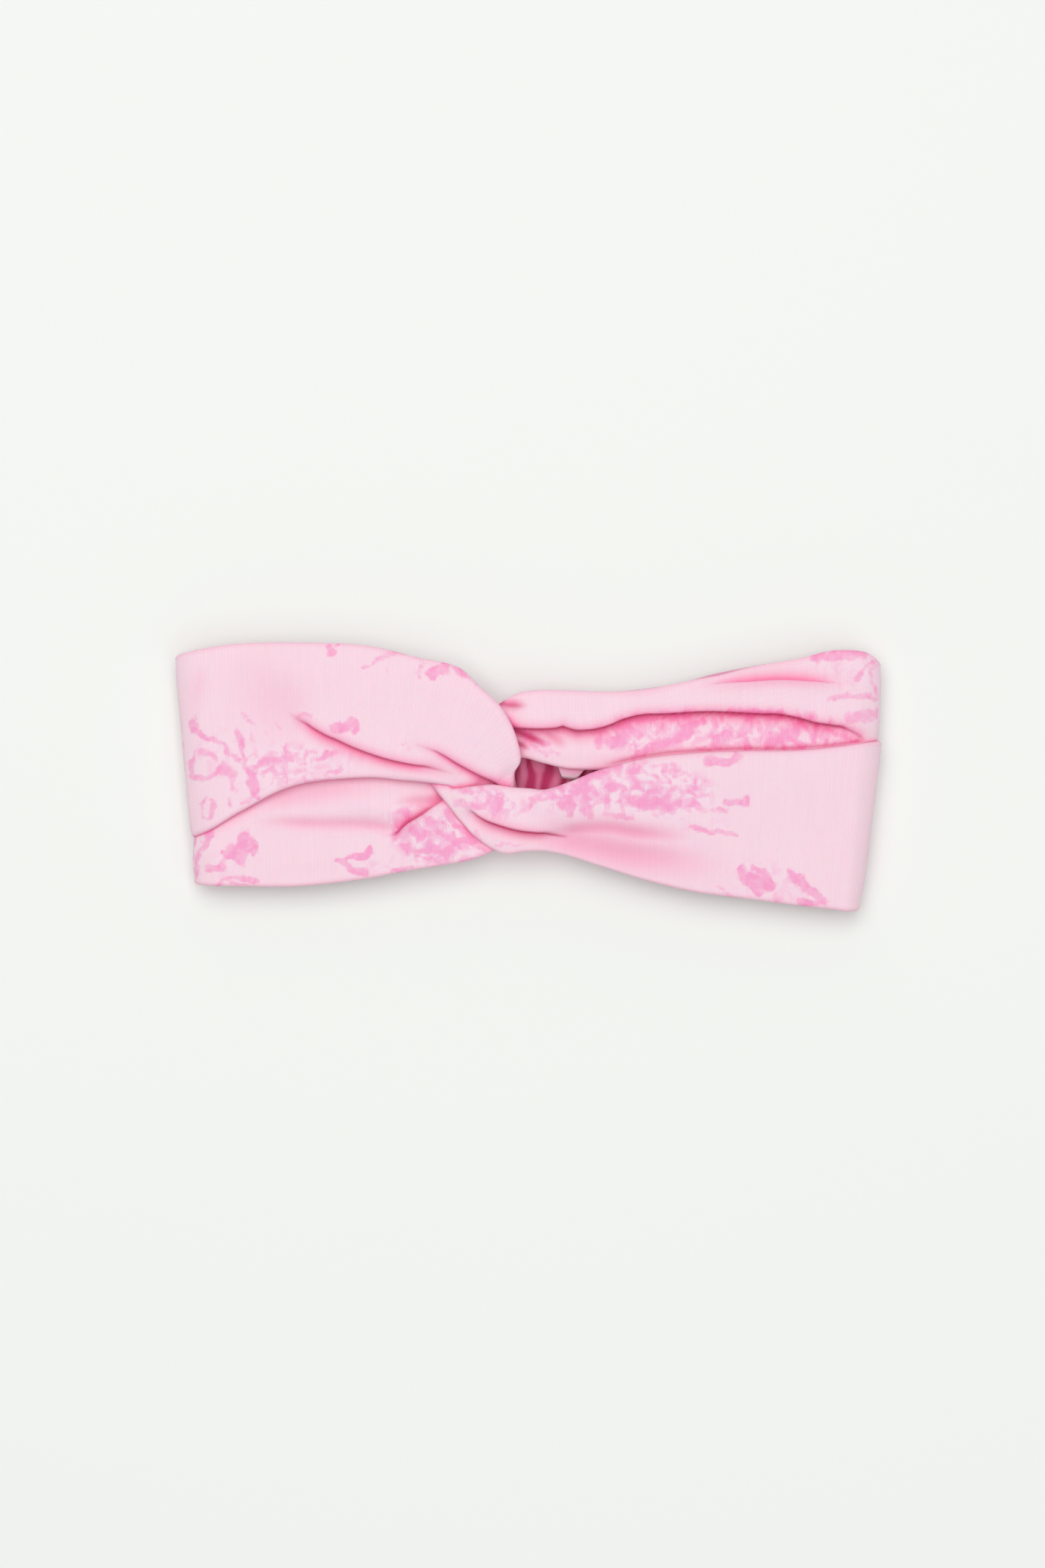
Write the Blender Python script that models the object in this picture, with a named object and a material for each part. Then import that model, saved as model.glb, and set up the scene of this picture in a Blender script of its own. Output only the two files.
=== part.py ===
"""Twist-front sports headband, laid flat with its front up and its elastic back underneath.

Two soft tubes of jersey are linked like chain links. The left tube comes from the left fold, crosses over
the upper leg of the right tube, passes down behind it and goes back to the left fold. The right tube does
the same from the other side. Behind the twist their four ends are sewn to a gathered casing that holds a
wide elastic, which closes the ring. +X runs along the band, +Y across it, +Z up from the surface it lies on.
"""

import math

import bmesh
import bpy
from mathutils import Vector

MM = 0.001

# Driving dimensions, in millimetres.
BAND_LENGTH = 240.0
LAYER = 2.6  # one flattened tube of doubled jersey
BACK_HALF_LENGTH = 65.0  # the gathered casing, between its two join seams
BACK_HEIGHT = 48.0
CASING_DEPTH = 3.4
CASING_WALL = 0.7
ELASTIC_HEIGHT = 38.0
ELASTIC_THICKNESS = 1.3
GAP = 0.35  # left between pieces that touch

# Heights above the surface that the band lies on.
BACK_Z = 1.55  # middle of a tube where it lies behind
FOLD_Z = 6.5  # middle of the end folds
LOW_Z = 11.3  # middle of a tube where it passes under the other
HALF = BAND_LENGTH / 2
SEAM_X = BACK_HALF_LENGTH + GAP

# Each tube is a list of stations from one back seam to the other: (outer edge, inner edge), each x, y, z.
# The outer edge runs round the outside of the tube's bend, and the inner edge round its inside.
LEFT_TUBE = [
    ((-SEAM_X, 24, BACK_Z), (-SEAM_X, -5.6, BACK_Z)),
    ((-90, 32, BACK_Z), (-89, -12.4, BACK_Z)),
    ((-112, 39.3, 1.7), (-105, -19, 1.7)),
    ((1.3 - HALF, 41, FOLD_Z), (-112.6, -20.5, FOLD_Z)),
    ((-112.5, 42.3, 11.4), (-105.5, -17.4, 11.6)),
    ((-98, 45.3, 11.6), (-97, -11.4, 14.6)),
    ((-79, 45.5, 11.8), (-79, -2.8, 15.2)),
    ((-56, 44, 12.8), (-56, -0.6, 15.6)),
    ((-37, 39.5, 14.6), (-41, -1.4, 15.8)),
    ((-24, 35.5, 15.8), (-31, -1.6, 16.2)),
    ((-13.5, 27, 16.4), (-27, -1.2, 16.4)),
    ((-6.5, 17.5, 16.6), (-25.2, -0.4, 16.2)),
    ((-3.4, 7, 16.0), (-24.3, -0.9, 15.6)),
    ((-3.4, -3.5, 12.9), (-24, -3.4, 13.0)),
    ((-3.6, -12.5, LOW_Z), (-24.4, -6.4, LOW_Z)),
    ((-7, -20.5, LOW_Z), (-26.4, -9.6, LOW_Z)),
    ((-13, -25.4, LOW_Z), (-30, -11, LOW_Z)),
    ((-21, -28, LOW_Z), (-34.5, -10.4, LOW_Z)),
    ((-31, -30, LOW_Z), (-41, -6.4, LOW_Z)),
    ((-52, -33.4, LOW_Z), (-54, 2.4, LOW_Z)),
    ((-80, -36, LOW_Z), (-80, 0.4, LOW_Z)),
    ((-98, -36.6, 11.4), (-97, -10.4, LOW_Z)),
    ((-107, -36.6, 11.3), (-106.5, -20.6, LOW_Z)),
    ((-112.2, -36.2, FOLD_Z), (-112.6, -21.6, FOLD_Z)),
    ((-106, -34.6, 1.7), (-105.4, -20.2, 1.7)),
    ((-90, -29.8, BACK_Z), (-89, -13.8, BACK_Z)),
    ((-SEAM_X, -24, BACK_Z), (-SEAM_X, -6.4, BACK_Z)),
]
RIGHT_TUBE = [
    ((SEAM_X, 24, BACK_Z), (SEAM_X, 8.2, BACK_Z)),
    ((90, 32, BACK_Z), (90, 11.4, BACK_Z)),
    ((110, 38.8, 1.7), (111, 14.2, 1.7)),
    ((HALF - 1.3, 40, FOLD_Z), (HALF - 1.8, 14.2, FOLD_Z)),
    ((110.5, 41.3, 11.3), (111.5, 13.4, 11.1)),
    ((92, 39.6, 11.4), (94, 6.4, LOW_Z)),
    ((63, 34.2, 11.4), (64, 4.6, LOW_Z)),
    ((40, 30, 11.4), (41, 3.2, LOW_Z)),
    ((27, 28.2, LOW_Z), (27, 2.0, LOW_Z)),
    ((11, 28.6, LOW_Z), (14, 2.7, LOW_Z)),
    ((1.5, 28.2, LOW_Z), (5.4, 4.7, LOW_Z)),
    ((-6, 26.4, LOW_Z), (-2.4, 6.3, LOW_Z)),
    ((-14.5, 21.5, LOW_Z), (-9.6, 5.4, LOW_Z)),
    ((-24, 14.5, LOW_Z), (-18, 4.6, LOW_Z)),
    ((-32.4, 6.6, LOW_Z), (-26.2, 2.6, LOW_Z)),
    ((-36.2, -1.0, 12.4), (-29, -1.0, 12.8)),
    ((-35.4, -6.6, 14.6), (-28.4, -4.4, 14.8)),
    ((-30, -11.6, 16.2), (-24.4, -5.4, 16.8)),
    ((-24, -16, 16.4), (-18.6, -4.2, 17.4)),
    ((-17, -21.2, 16.2), (-12, -3.4, 17.4)),
    ((-8.5, -24.6, 15.6), (-4, -3.8, 17.2)),
    ((6, -24.8, 14.8), (6, -4.2, 17.0)),
    ((14, -26.4, 14.0), (14, -1.6, 16.6)),
    ((25.7, -30, 12.8), (25, 2.8, 15.9)),
    ((41.3, -34.8, 11.8), (41, 6.7, 15.4)),
    ((57, -38.2, 11.5), (58, 8.3, 15.2)),
    ((72.6, -40.6, 11.4), (74, 8.9, 15.2)),
    ((88, -42.6, 11.4), (91, 9.3, 15.1)),
    ((100, -44.5, 11.4), (104, 10.6, 14.6)),
    ((106.5, -45.4, 11.3), (112.5, 12.4, 11.3)),
    ((111, -45.2, FOLD_Z), (HALF - 1.4, 13.2, FOLD_Z)),
    ((105, -42.8, 1.7), (111, 13.2, 1.7)),
    ((88, -34.5, BACK_Z), (90, 10.4, BACK_Z)),
    ((SEAM_X, -24, BACK_Z), (SEAM_X, 7.4, BACK_Z)),
]
STEPS_PER_SPAN = 2
ROUND_EDGE_POINTS = 5

# Sewing thread and label.
THREAD = 0.6
ZIGZAG_REACH = 2.4
ZIGZAG_STITCH = 2.6
CHANNEL_Y = 12.0  # the two rows that gather the casing on to the elastic
CHANNEL_STITCH = 4.0
CHANNEL_REACH = 0.7
LABEL_X = 44.0  # behind the right loop, clear of the opening in the twist
LABEL_LENGTH = 30.0
LABEL_HEIGHT = 12.0
LABEL_THICKNESS = 0.4


def clear_scene():
    """Empties the file of the objects it opens with."""
    for obj in list(bpy.data.objects):
        bpy.data.objects.remove(obj)


def fabric(name, colour, roughness=0.85):
    """A plain cloth material for one kind of piece."""
    material = bpy.data.materials.new(name)
    material.use_nodes = True
    shader = material.node_tree.nodes["Principled BSDF"]
    shader.inputs["Base Color"].default_value = (*colour, 1)
    shader.inputs["Roughness"].default_value = roughness
    shader.inputs["Metallic"].default_value = 0
    return material


def add_mesh(name, bm, material):
    """Turns a finished bmesh into a smooth-shaded object with outward faces."""
    bmesh.ops.recalc_face_normals(bm, faces=bm.faces)
    mesh = bpy.data.meshes.new(name)
    bm.to_mesh(mesh)
    bm.free()
    mesh.shade_smooth()
    mesh.set_sharp_from_angle(angle=math.radians(50))
    mesh.materials.append(material)
    obj = bpy.data.objects.new(name, mesh)
    bpy.context.scene.collection.objects.link(obj)
    return obj


def smooth_point(points, span, share):
    """A point on the Catmull-Rom curve through the points, share of the way along that span."""
    last = len(points) - 1
    p0, p1, p2, p3 = (points[min(max(span + k, 0), last)] for k in (-1, 0, 1, 2))
    s, s2, s3 = share, share**2, share**3
    return 0.5 * (2 * p1 + (p2 - p0) * s + (2 * p0 - 5 * p1 + 4 * p2 - p3) * s2 + (3 * p1 - p0 - 3 * p2 + p3) * s3)


def smooth_line(points, steps):
    """The curve through the points, with that many steps from each point to the next."""
    line = [smooth_point(points, span, k / steps) for span in range(len(points) - 1) for k in range(steps)]
    return line + [points[-1]]


def flat_tube_ring(centre, across, normal, thickness):
    """The points round a flattened tube: two half-round edges joined by a straight top and bottom."""
    radius = thickness / 2
    reach = max(across.length - radius, radius * 0.2)
    side = across.normalized()
    ring = []
    for sign, start in ((1, -90), (-1, 90)):
        for k in range(ROUND_EDGE_POINTS):
            angle = math.radians(start + 180 * k / (ROUND_EDGE_POINTS - 1))
            edge = sign * reach + radius * math.cos(angle)
            ring.append(centre + side * edge + normal * radius * math.sin(angle))
        ring.append(centre + normal * radius * sign)
    return ring


def sew_tube(name, stations, thickness, material):
    """One closed flattened tube that follows its outer and inner edges."""
    outer = smooth_line([Vector(edge) * MM for edge, _ in stations], STEPS_PER_SPAN)
    inner = smooth_line([Vector(edge) * MM for _, edge in stations], STEPS_PER_SPAN)
    middle = [(a + b) / 2 for a, b in zip(outer, inner)]
    bm = bmesh.new()
    rings = []
    for k, centre in enumerate(middle):
        along = middle[min(k + 1, len(middle) - 1)] - middle[max(k - 1, 0)]
        across = (outer[k] - inner[k]) / 2
        normal = along.cross(across).normalized()
        ring = [bm.verts.new(p) for p in flat_tube_ring(centre, across, normal, thickness * MM)]
        rings.append([bm.edges.new((ring[i - 1], ring[i])) for i in range(len(ring))])
    for near, far in zip(rings, rings[1:]):
        bmesh.ops.bridge_loops(bm, edges=near + far)
    for end in (rings[0], rings[-1]):
        bmesh.ops.contextual_create(bm, geom=end)
    return add_mesh(name, bm, material)


def rounded_box(name, size, place, bevel, material):
    """A flat slab with its edges rounded by a Bevel modifier. Size and place are in millimetres."""
    bm = bmesh.new()
    bmesh.ops.create_cube(bm, size=1)
    bmesh.ops.scale(bm, vec=Vector(size) * MM, verts=bm.verts)
    obj = add_mesh(name, bm, material)
    obj.location = Vector(place) * MM
    rounding = obj.modifiers.new("rounded", "BEVEL")
    rounding.width = bevel * MM
    rounding.segments = 2
    return obj


def back_casing(material):
    """The gathered casing: a flat tube of cloth, open at both ends, whose wall is grown inwards."""
    half_depth = CASING_DEPTH / 2
    ring = flat_tube_ring(
        Vector((-BACK_HALF_LENGTH, 0, half_depth)) * MM,
        Vector((0, BACK_HEIGHT / 2, 0)) * MM,
        Vector((0, 0, 1)),
        CASING_DEPTH * MM,
    )
    bm = bmesh.new()
    verts = [bm.verts.new(p) for p in ring]
    edges = [bm.edges.new((verts[i - 1], verts[i])) for i in range(len(verts))]
    grown = bmesh.ops.extrude_edge_only(bm, edges=edges)["geom"]
    moved = [g for g in grown if isinstance(g, bmesh.types.BMVert)]
    bmesh.ops.translate(bm, vec=Vector((2 * BACK_HALF_LENGTH * MM, 0, 0)), verts=moved)
    obj = add_mesh("back_casing", bm, material)
    if obj.data.polygons[0].normal.dot(obj.data.polygons[0].center - Vector((0, 0, half_depth * MM))) < 0:
        obj.data.flip_normals()
    wall = obj.modifiers.new("wall", "SOLIDIFY")
    wall.thickness = CASING_WALL * MM
    wall.offset = -1
    return obj


def thread_line(name, points, material):
    """One continuous sewing thread along the points, in millimetres, as a round tube with closed ends."""
    curve = bpy.data.curves.new(name, "CURVE")
    curve.dimensions = "3D"
    curve.bevel_depth = THREAD / 2 * MM
    curve.bevel_resolution = 1
    curve.use_fill_caps = True
    spline = curve.splines.new("POLY")
    spline.points.add(len(points) - 1)
    for target, point in zip(spline.points, points):
        target.co = (*(Vector(point) * MM), 1)
    curve.materials.append(material)
    obj = bpy.data.objects.new(name, curve)
    bpy.context.scene.collection.objects.link(obj)
    return obj


def zigzag(start, along, side, length, stitch, reach):
    """Points that swing from side to side by reach, once each stitch."""
    start, along, side = Vector(start), Vector(along), Vector(side)
    count = round(length / stitch)
    return [start + along * (length * k / count) + side * (reach if k % 2 else -reach) for k in range(count + 1)]


def main():
    clear_scene()
    printed = fabric("printed_jersey", (0.93, 0.67, 0.76))
    elastic = fabric("woven_elastic", (0.86, 0.84, 0.82), 0.7)
    thread = fabric("sewing_thread", (0.92, 0.55, 0.68), 0.6)
    satin = fabric("label_satin", (0.93, 0.92, 0.9), 0.4)

    sew_tube("left_loop", LEFT_TUBE, LAYER, printed)
    sew_tube("right_loop", RIGHT_TUBE, LAYER, printed)
    back_casing(printed)
    elastic_size = (2 * BACK_HALF_LENGTH - 1, ELASTIC_HEIGHT, ELASTIC_THICKNESS)
    rounded_box("elastic_band", elastic_size, (0, 0, CASING_DEPTH / 2), 0.3, elastic)

    # Threads lie on the inside of the ring, on top of the back layer.
    thread_z = CASING_DEPTH + GAP + THREAD / 2
    for name, sign in (("left_join_thread", -1), ("right_join_thread", 1)):
        start = (sign * BACK_HALF_LENGTH, 2 - BACK_HEIGHT / 2, thread_z)
        points = zigzag(start, (0, 1, 0), (1, 0, 0), BACK_HEIGHT - 4, ZIGZAG_STITCH, ZIGZAG_REACH)
        thread_line(name, points, thread)
    for name, sign in (("upper_channel_thread", 1), ("lower_channel_thread", -1)):
        run = 2 * (BACK_HALF_LENGTH - ZIGZAG_REACH - 2)
        start = (-run / 2, sign * CHANNEL_Y, thread_z)
        thread_line(name, zigzag(start, (1, 0, 0), (0, 1, 0), run, CHANNEL_STITCH, CHANNEL_REACH), thread)

    # The care label is sewn down flat at both ends, between the two gathering rows.
    label_z = CASING_DEPTH + GAP + LABEL_THICKNESS / 2
    rounded_box("care_label", (LABEL_LENGTH, LABEL_HEIGHT, LABEL_THICKNESS), (LABEL_X, 0, label_z), 0.1, satin)
    stitch_z = label_z + LABEL_THICKNESS / 2 + GAP + THREAD / 2
    for name, sign in (("label_thread_left", -1), ("label_thread_right", 1)):
        start = (LABEL_X + sign * (LABEL_LENGTH / 2 - 2), 1 - LABEL_HEIGHT / 2, stitch_z)
        thread_line(name, zigzag(start, (0, 1, 0), (1, 0, 0), LABEL_HEIGHT - 2, 1.6, 0.5), thread)


main()
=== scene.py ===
"""A wide twist-front sports headband in printed jersey, laid flat with its front up.

Everything is in metres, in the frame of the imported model: +X runs along the band, +Y across it towards the
edge worn upwards, and +Z out of the front of the twist. The band lies on the floor at z = 0.
"""
import math

import bmesh
import bpy
import numpy as np
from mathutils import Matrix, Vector, noise
from mathutils.bvhtree import BVHTree


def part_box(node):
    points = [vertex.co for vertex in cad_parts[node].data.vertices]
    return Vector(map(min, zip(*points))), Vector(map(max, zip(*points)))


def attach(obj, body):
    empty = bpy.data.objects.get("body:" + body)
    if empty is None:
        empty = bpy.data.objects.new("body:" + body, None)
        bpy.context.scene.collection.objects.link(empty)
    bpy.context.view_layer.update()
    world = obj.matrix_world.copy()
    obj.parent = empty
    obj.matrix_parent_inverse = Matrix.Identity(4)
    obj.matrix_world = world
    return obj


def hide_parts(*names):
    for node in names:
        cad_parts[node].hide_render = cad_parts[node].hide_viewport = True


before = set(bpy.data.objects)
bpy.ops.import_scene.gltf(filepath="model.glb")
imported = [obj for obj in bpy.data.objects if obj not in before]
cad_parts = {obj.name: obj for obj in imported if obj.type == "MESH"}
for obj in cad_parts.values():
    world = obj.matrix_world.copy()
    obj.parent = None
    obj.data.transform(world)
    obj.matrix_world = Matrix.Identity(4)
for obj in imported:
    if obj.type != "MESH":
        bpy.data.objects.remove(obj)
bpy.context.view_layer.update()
scene = bpy.context.scene
MM = 0.001

# ----------------------------------------------------------
# Camera: straight above the band, far enough off that its ends show almost no perspective. The band is a
# small thing in the middle of a wide stretch of floor.
BAND_TOP = 0.0115
CAMERA_HEIGHT = 1.5  # above the top of the band
VIEW_CENTRE = (-0.00198, -0.00233)
VIEW_LENGTH = 0.531  # of floor, along Y
SENSOR = 36.0
FARTHEST_SEEN = 10


def put_in_scene(name, data):
    """An object with this mesh, camera or light in it, at the origin."""
    thing = bpy.data.objects.new(name, data)
    scene.collection.objects.link(thing)
    return thing


camera_data = bpy.data.cameras.new("camera")
camera_data.sensor_width = SENSOR
camera_data.lens = SENSOR * CAMERA_HEIGHT / VIEW_LENGTH
camera_data.clip_end = FARTHEST_SEEN
scene.camera = put_in_scene("camera", camera_data)
scene.camera.location = (*VIEW_CENTRE, CAMERA_HEIGHT + BAND_TOP)
scene.view_settings.view_transform = "Standard"

# ----------------------------------------------------------
# The cloth: fine single jersey, pale pink, printed all over with loose blotted flowers in a stronger pink.
# Its wales run across the band, about a millimetre apart. Both loops and the back casing are cut from it.
JERSEY = (0.955, 0.70, 0.795)
PRINT_PINK = (0.95, 0.385, 0.635)
PRINT_WASH = (0.95, 0.56, 0.74)
PRINT_PALE = (0.955, 0.725, 0.82)
CREASE_SHADE_PINK = (0.58, 0.045, 0.16)  # painted shade: the dark pink deep in a crease, where light reaches only through the cloth
TUCK_SHADE_TINT = (1.0, 0.44, 0.64)  # painted shade: the deeper pink that tucked-in cloth keeps of the light
WALE, COURSE = 0.001, 0.0008
WALE_WAVER = 0.0006
PRINT_AND_SHADE_LAYERS = ("ink", "bloom", "nip", "tuck")  # strokes and flower heads of the print, then painted shade: dark crease lines and tucked-in cloth
FULL_TURN = 2 * math.pi


def fill(node, inputs):
    """Gives a node its inputs, by name or number. Each is a value, or the reading that feeds it."""
    for key, value in inputs.items():
        socket = node.inputs[key]
        if isinstance(value, Reading):
            node.id_data.links.new(value.socket, socket)
        elif socket.type == "RGBA":
            socket.default_value = (*value, 1)
        else:
            socket.default_value = value


def add_node(tree, kind, inputs=None, **settings):
    """A node with these settings and inputs."""
    node = tree.nodes.new(kind)
    for key, value in settings.items():
        setattr(node, key, value)
    fill(node, inputs or {})
    return node


def read(tree, kind, inputs=None, output=0, **settings):
    """The reading at one output of a new node."""
    return Reading(add_node(tree, kind, inputs, **settings).outputs[output])


class Reading:
    """What a node gives at each point: a number, a place or a colour. Sums done on it add Math nodes."""

    def __init__(self, socket):
        self.socket, self.tree = socket, socket.id_data

    def math(self, operation, *others, kind="ShaderNodeMath"):
        return read(self.tree, kind, dict(enumerate((self, *others))), operation=operation)

    def __add__(self, other):
        return self.math("ADD", other)

    def __sub__(self, other):
        return self.math("SUBTRACT", other)

    def __rsub__(self, other):
        return self.math("MULTIPLY_ADD", -1, other)

    def __mul__(self, other):
        return self.math("MULTIPLY", other)

    def __truediv__(self, other):
        return self.math("DIVIDE", other)

    def __abs__(self):
        return self.math("ABSOLUTE")

    __radd__, __rmul__ = __add__, __mul__

    def sine(self):
        return self.math("SINE")

    def step(self, low, high):
        """Goes smoothly from 0 to 1 while this goes from low to high."""
        inputs = {0: self, 1: low, 2: high}
        return read(self.tree, "ShaderNodeMapRange", inputs, interpolation_type="SMOOTHSTEP")

    def blend(self, first, second, how="MIX"):
        """A colour that goes from the first to the second while this goes from 0 to 1."""
        inputs = {0: self, 6: first, 7: second}
        return read(self.tree, "ShaderNodeMix", inputs, 2, data_type="RGBA", blend_type=how)

    def noise(self, scale, detail, distortion=0):
        """Smooth noise at this place."""
        inputs = {"Vector": self, "Scale": scale, "Detail": detail, "Distortion": distortion}
        return read(self.tree, "ShaderNodeTexNoise", inputs)

    def parts(self):
        """The x, y and z of this place."""
        return [Reading(part) for part in add_node(self.tree, "ShaderNodeSeparateXYZ", {0: self}).outputs]


def new_tree(kind, name, inputs, outputs):
    """A node tree with named inputs, each a kind and a value, and named outputs, each a kind. Returns the
    tree, the readings it is given and its output node."""
    tree = bpy.data.node_groups.new(name, kind)
    for label, (sort, value) in inputs.items():
        socket = tree.interface.new_socket(label, in_out="INPUT", socket_type="NodeSocket" + sort)
        if value is not None:
            socket.default_value = value
    for label, sort in outputs.items():
        tree.interface.new_socket(label, in_out="OUTPUT", socket_type="NodeSocket" + sort)
    entrance = tree.nodes.new("NodeGroupInput")
    given = {socket.name: Reading(socket) for socket in entrance.outputs if socket.name}
    return tree, given, tree.nodes.new("NodeGroupOutput")


def new_material(name, finish):
    """A material and its shader, which has these inputs."""
    material = bpy.data.materials.new(name)
    material.use_nodes = True
    shader = material.node_tree.nodes["Principled BSDF"]
    fill(shader, finish)
    return material, shader


def emboss(shader, height, strength, distance):
    """Raises the surface under a shader where the height is greater."""
    inputs = {"Height": height, "Strength": strength, "Distance": distance}
    fill(shader, {"Normal": read(height.tree, "ShaderNodeBump", inputs)})


def knit_group():
    """Single jersey seen from its face: wales of V-shaped loops, in the piece's own metres-wide UV map."""
    tree, given, out = new_tree(
        "ShaderNodeTree",
        "jersey_knit",
        {"Cloth": ("Vector", None), "Wale": ("Float", WALE), "Course": ("Float", COURSE)},
        {"Height": "Float", "Slub": "Float"},
    )
    cloth = given["Cloth"]
    along, across, _ = cloth.parts()
    in_wale = ((along + (cloth.noise(220, 1) - 0.5) * WALE_WAVER) / given["Wale"]).math("FRACT")
    loops = ((across / given["Course"] + abs(in_wale - 0.5)) * FULL_TURN).sine()
    yarn = read(tree, "ShaderNodeMapping", {"Vector": cloth, "Scale": (900, 60, 1)}, vector_type="POINT")
    fill(out, {"Height": (in_wale * math.pi).sine() * 0.7 + loops * 0.22, "Slub": yarn.noise(1, 2)})
    return tree


def print_and_shade_group():
    """The blotted print: soft-edged strokes and mottled flower heads, from the cloth's own attributes. Over
    it
    goes painted shade: a deeper pink where the cloth is tucked in, and dark lines in its creases.
    """
    colours = {"Ground": JERSEY, "Blot": PRINT_PINK, "Wash": PRINT_WASH, "Pale": PRINT_PALE, "CreaseShade": CREASE_SHADE_PINK}
    inputs = {name: ("Color", (*colour, 1)) for name, colour in colours.items()}
    inputs["Cloth"] = ("Vector", None)
    tree, given, out = new_tree("ShaderNodeTree", "blotted_print_and_painted_shade", inputs, {"Color": "Color"})
    cloth, blot, pale = given["Cloth"], given["Blot"], given["Pale"]
    ink, bloom, nip, tuck = (
        read(tree, "ShaderNodeAttribute", None, "Fac", attribute_name=name) for name in PRINT_AND_SHADE_LAYERS
    )
    ragged, mottle, uneven, depth = (
        cloth.noise(*sizes) for sizes in ((520, 4, 0.6), (250, 2, 0.7), (55, 2), (260, 2, 0.8))
    )
    ground = (uneven.step(0.35, 0.65) * 0.25).blend(given["Ground"], pale)
    # A flower head: pale specks, a wash and darker dabs. The denser its bloom, the more ground it covers.
    level = mottle - (1 - bloom) * 0.13
    washed = level.step(0.38, 0.50).blend(pale, given["Wash"])
    headed = bloom.step(0.12, 0.7).blend(ground, (level.step(0.52, 0.62) * 0.8).blend(washed, blot))
    stroke = (ink + (ragged - 0.5) * 0.95).step(0.12, 0.85) * (depth.step(0.35, 0.65) * 0.38 + 0.62)
    # Painted shade: tucked-in cloth is multiplied towards a deeper pink.
    tuck_shaded = tuck.blend(stroke.blend(headed, blot), TUCK_SHADE_TINT, "MULTIPLY")
    # Painted shade: creases darken towards a deep pink line.
    fill(out, {"Color": nip.blend(tuck_shaded, given["CreaseShade"])})
    return tree


def jersey_material(knit, print_and_shade):
    """Printed jersey: matt, with the faint bloom of brushed cotton, a shallow knit and light in its depth."""
    finish = {
        "Roughness": 0.86,
        "Specular IOR Level": 0.25,
        "Sheen Weight": 0.12,
        "Sheen Roughness": 0.5,
        "Sheen Tint": (1, 0.86, 0.92),
        "Subsurface Weight": 0.3,
        "Subsurface Radius": (1.0, 0.3, 0.45),
        "Subsurface Scale": 0.0022,
    }
    material, shader = new_material("printed_jersey_cloth", finish)
    cloth = read(material.node_tree, "ShaderNodeUVMap", uv_map="cloth")
    loops = add_node(cloth.tree, "ShaderNodeGroup", {"Cloth": cloth}, node_tree=knit)
    colour = read(cloth.tree, "ShaderNodeGroup", {"Cloth": cloth}, node_tree=print_and_shade)
    height, slub = (Reading(loops.outputs[name]) for name in ("Height", "Slub"))
    # Painted shade in the grooves between the knit's wales and loops, with the uneven tone of its slub yarn.
    shade = (height.step(-0.1, 0.5) * 0.035 + 0.965) * (slub.step(0.3, 0.7) * 0.02 + 0.985)
    shaded = read(cloth.tree, "ShaderNodeHueSaturation", {"Color": colour, "Value": shade})
    fill(shader, {"Base Color": shaded})
    emboss(shader, height, 0.16, 0.0002)
    return material


jersey = jersey_material(knit_group(), print_and_shade_group())

# ----------------------------------------------------------
# Left loop: a soft tube of jersey. From the left fold its upper leg crosses over the right loop, turns down
# behind it and runs back as the lower leg. The tube is pressed flat, and its pleats are lapped over in code.
TOP_POINTS = 112  # round the face of the tube
UNDER_POINTS = 30
STEP = 0.62  # between rings, in millimetres
ROLLED = 2.2  # width of the rolled edge that turns out of the light
CROWN = 0.5  # how far the middle of a face stands above its edges
CROWN_WIDTH = 9
FACE_EDGE_SHADE, UNDER_EDGE_SHADE = 0.28, 0.8  # painted shade of the rolled edge, on the face and on the under side
SEED_STEP = 17.3  # between the slices of noise that two seeds read

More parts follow.
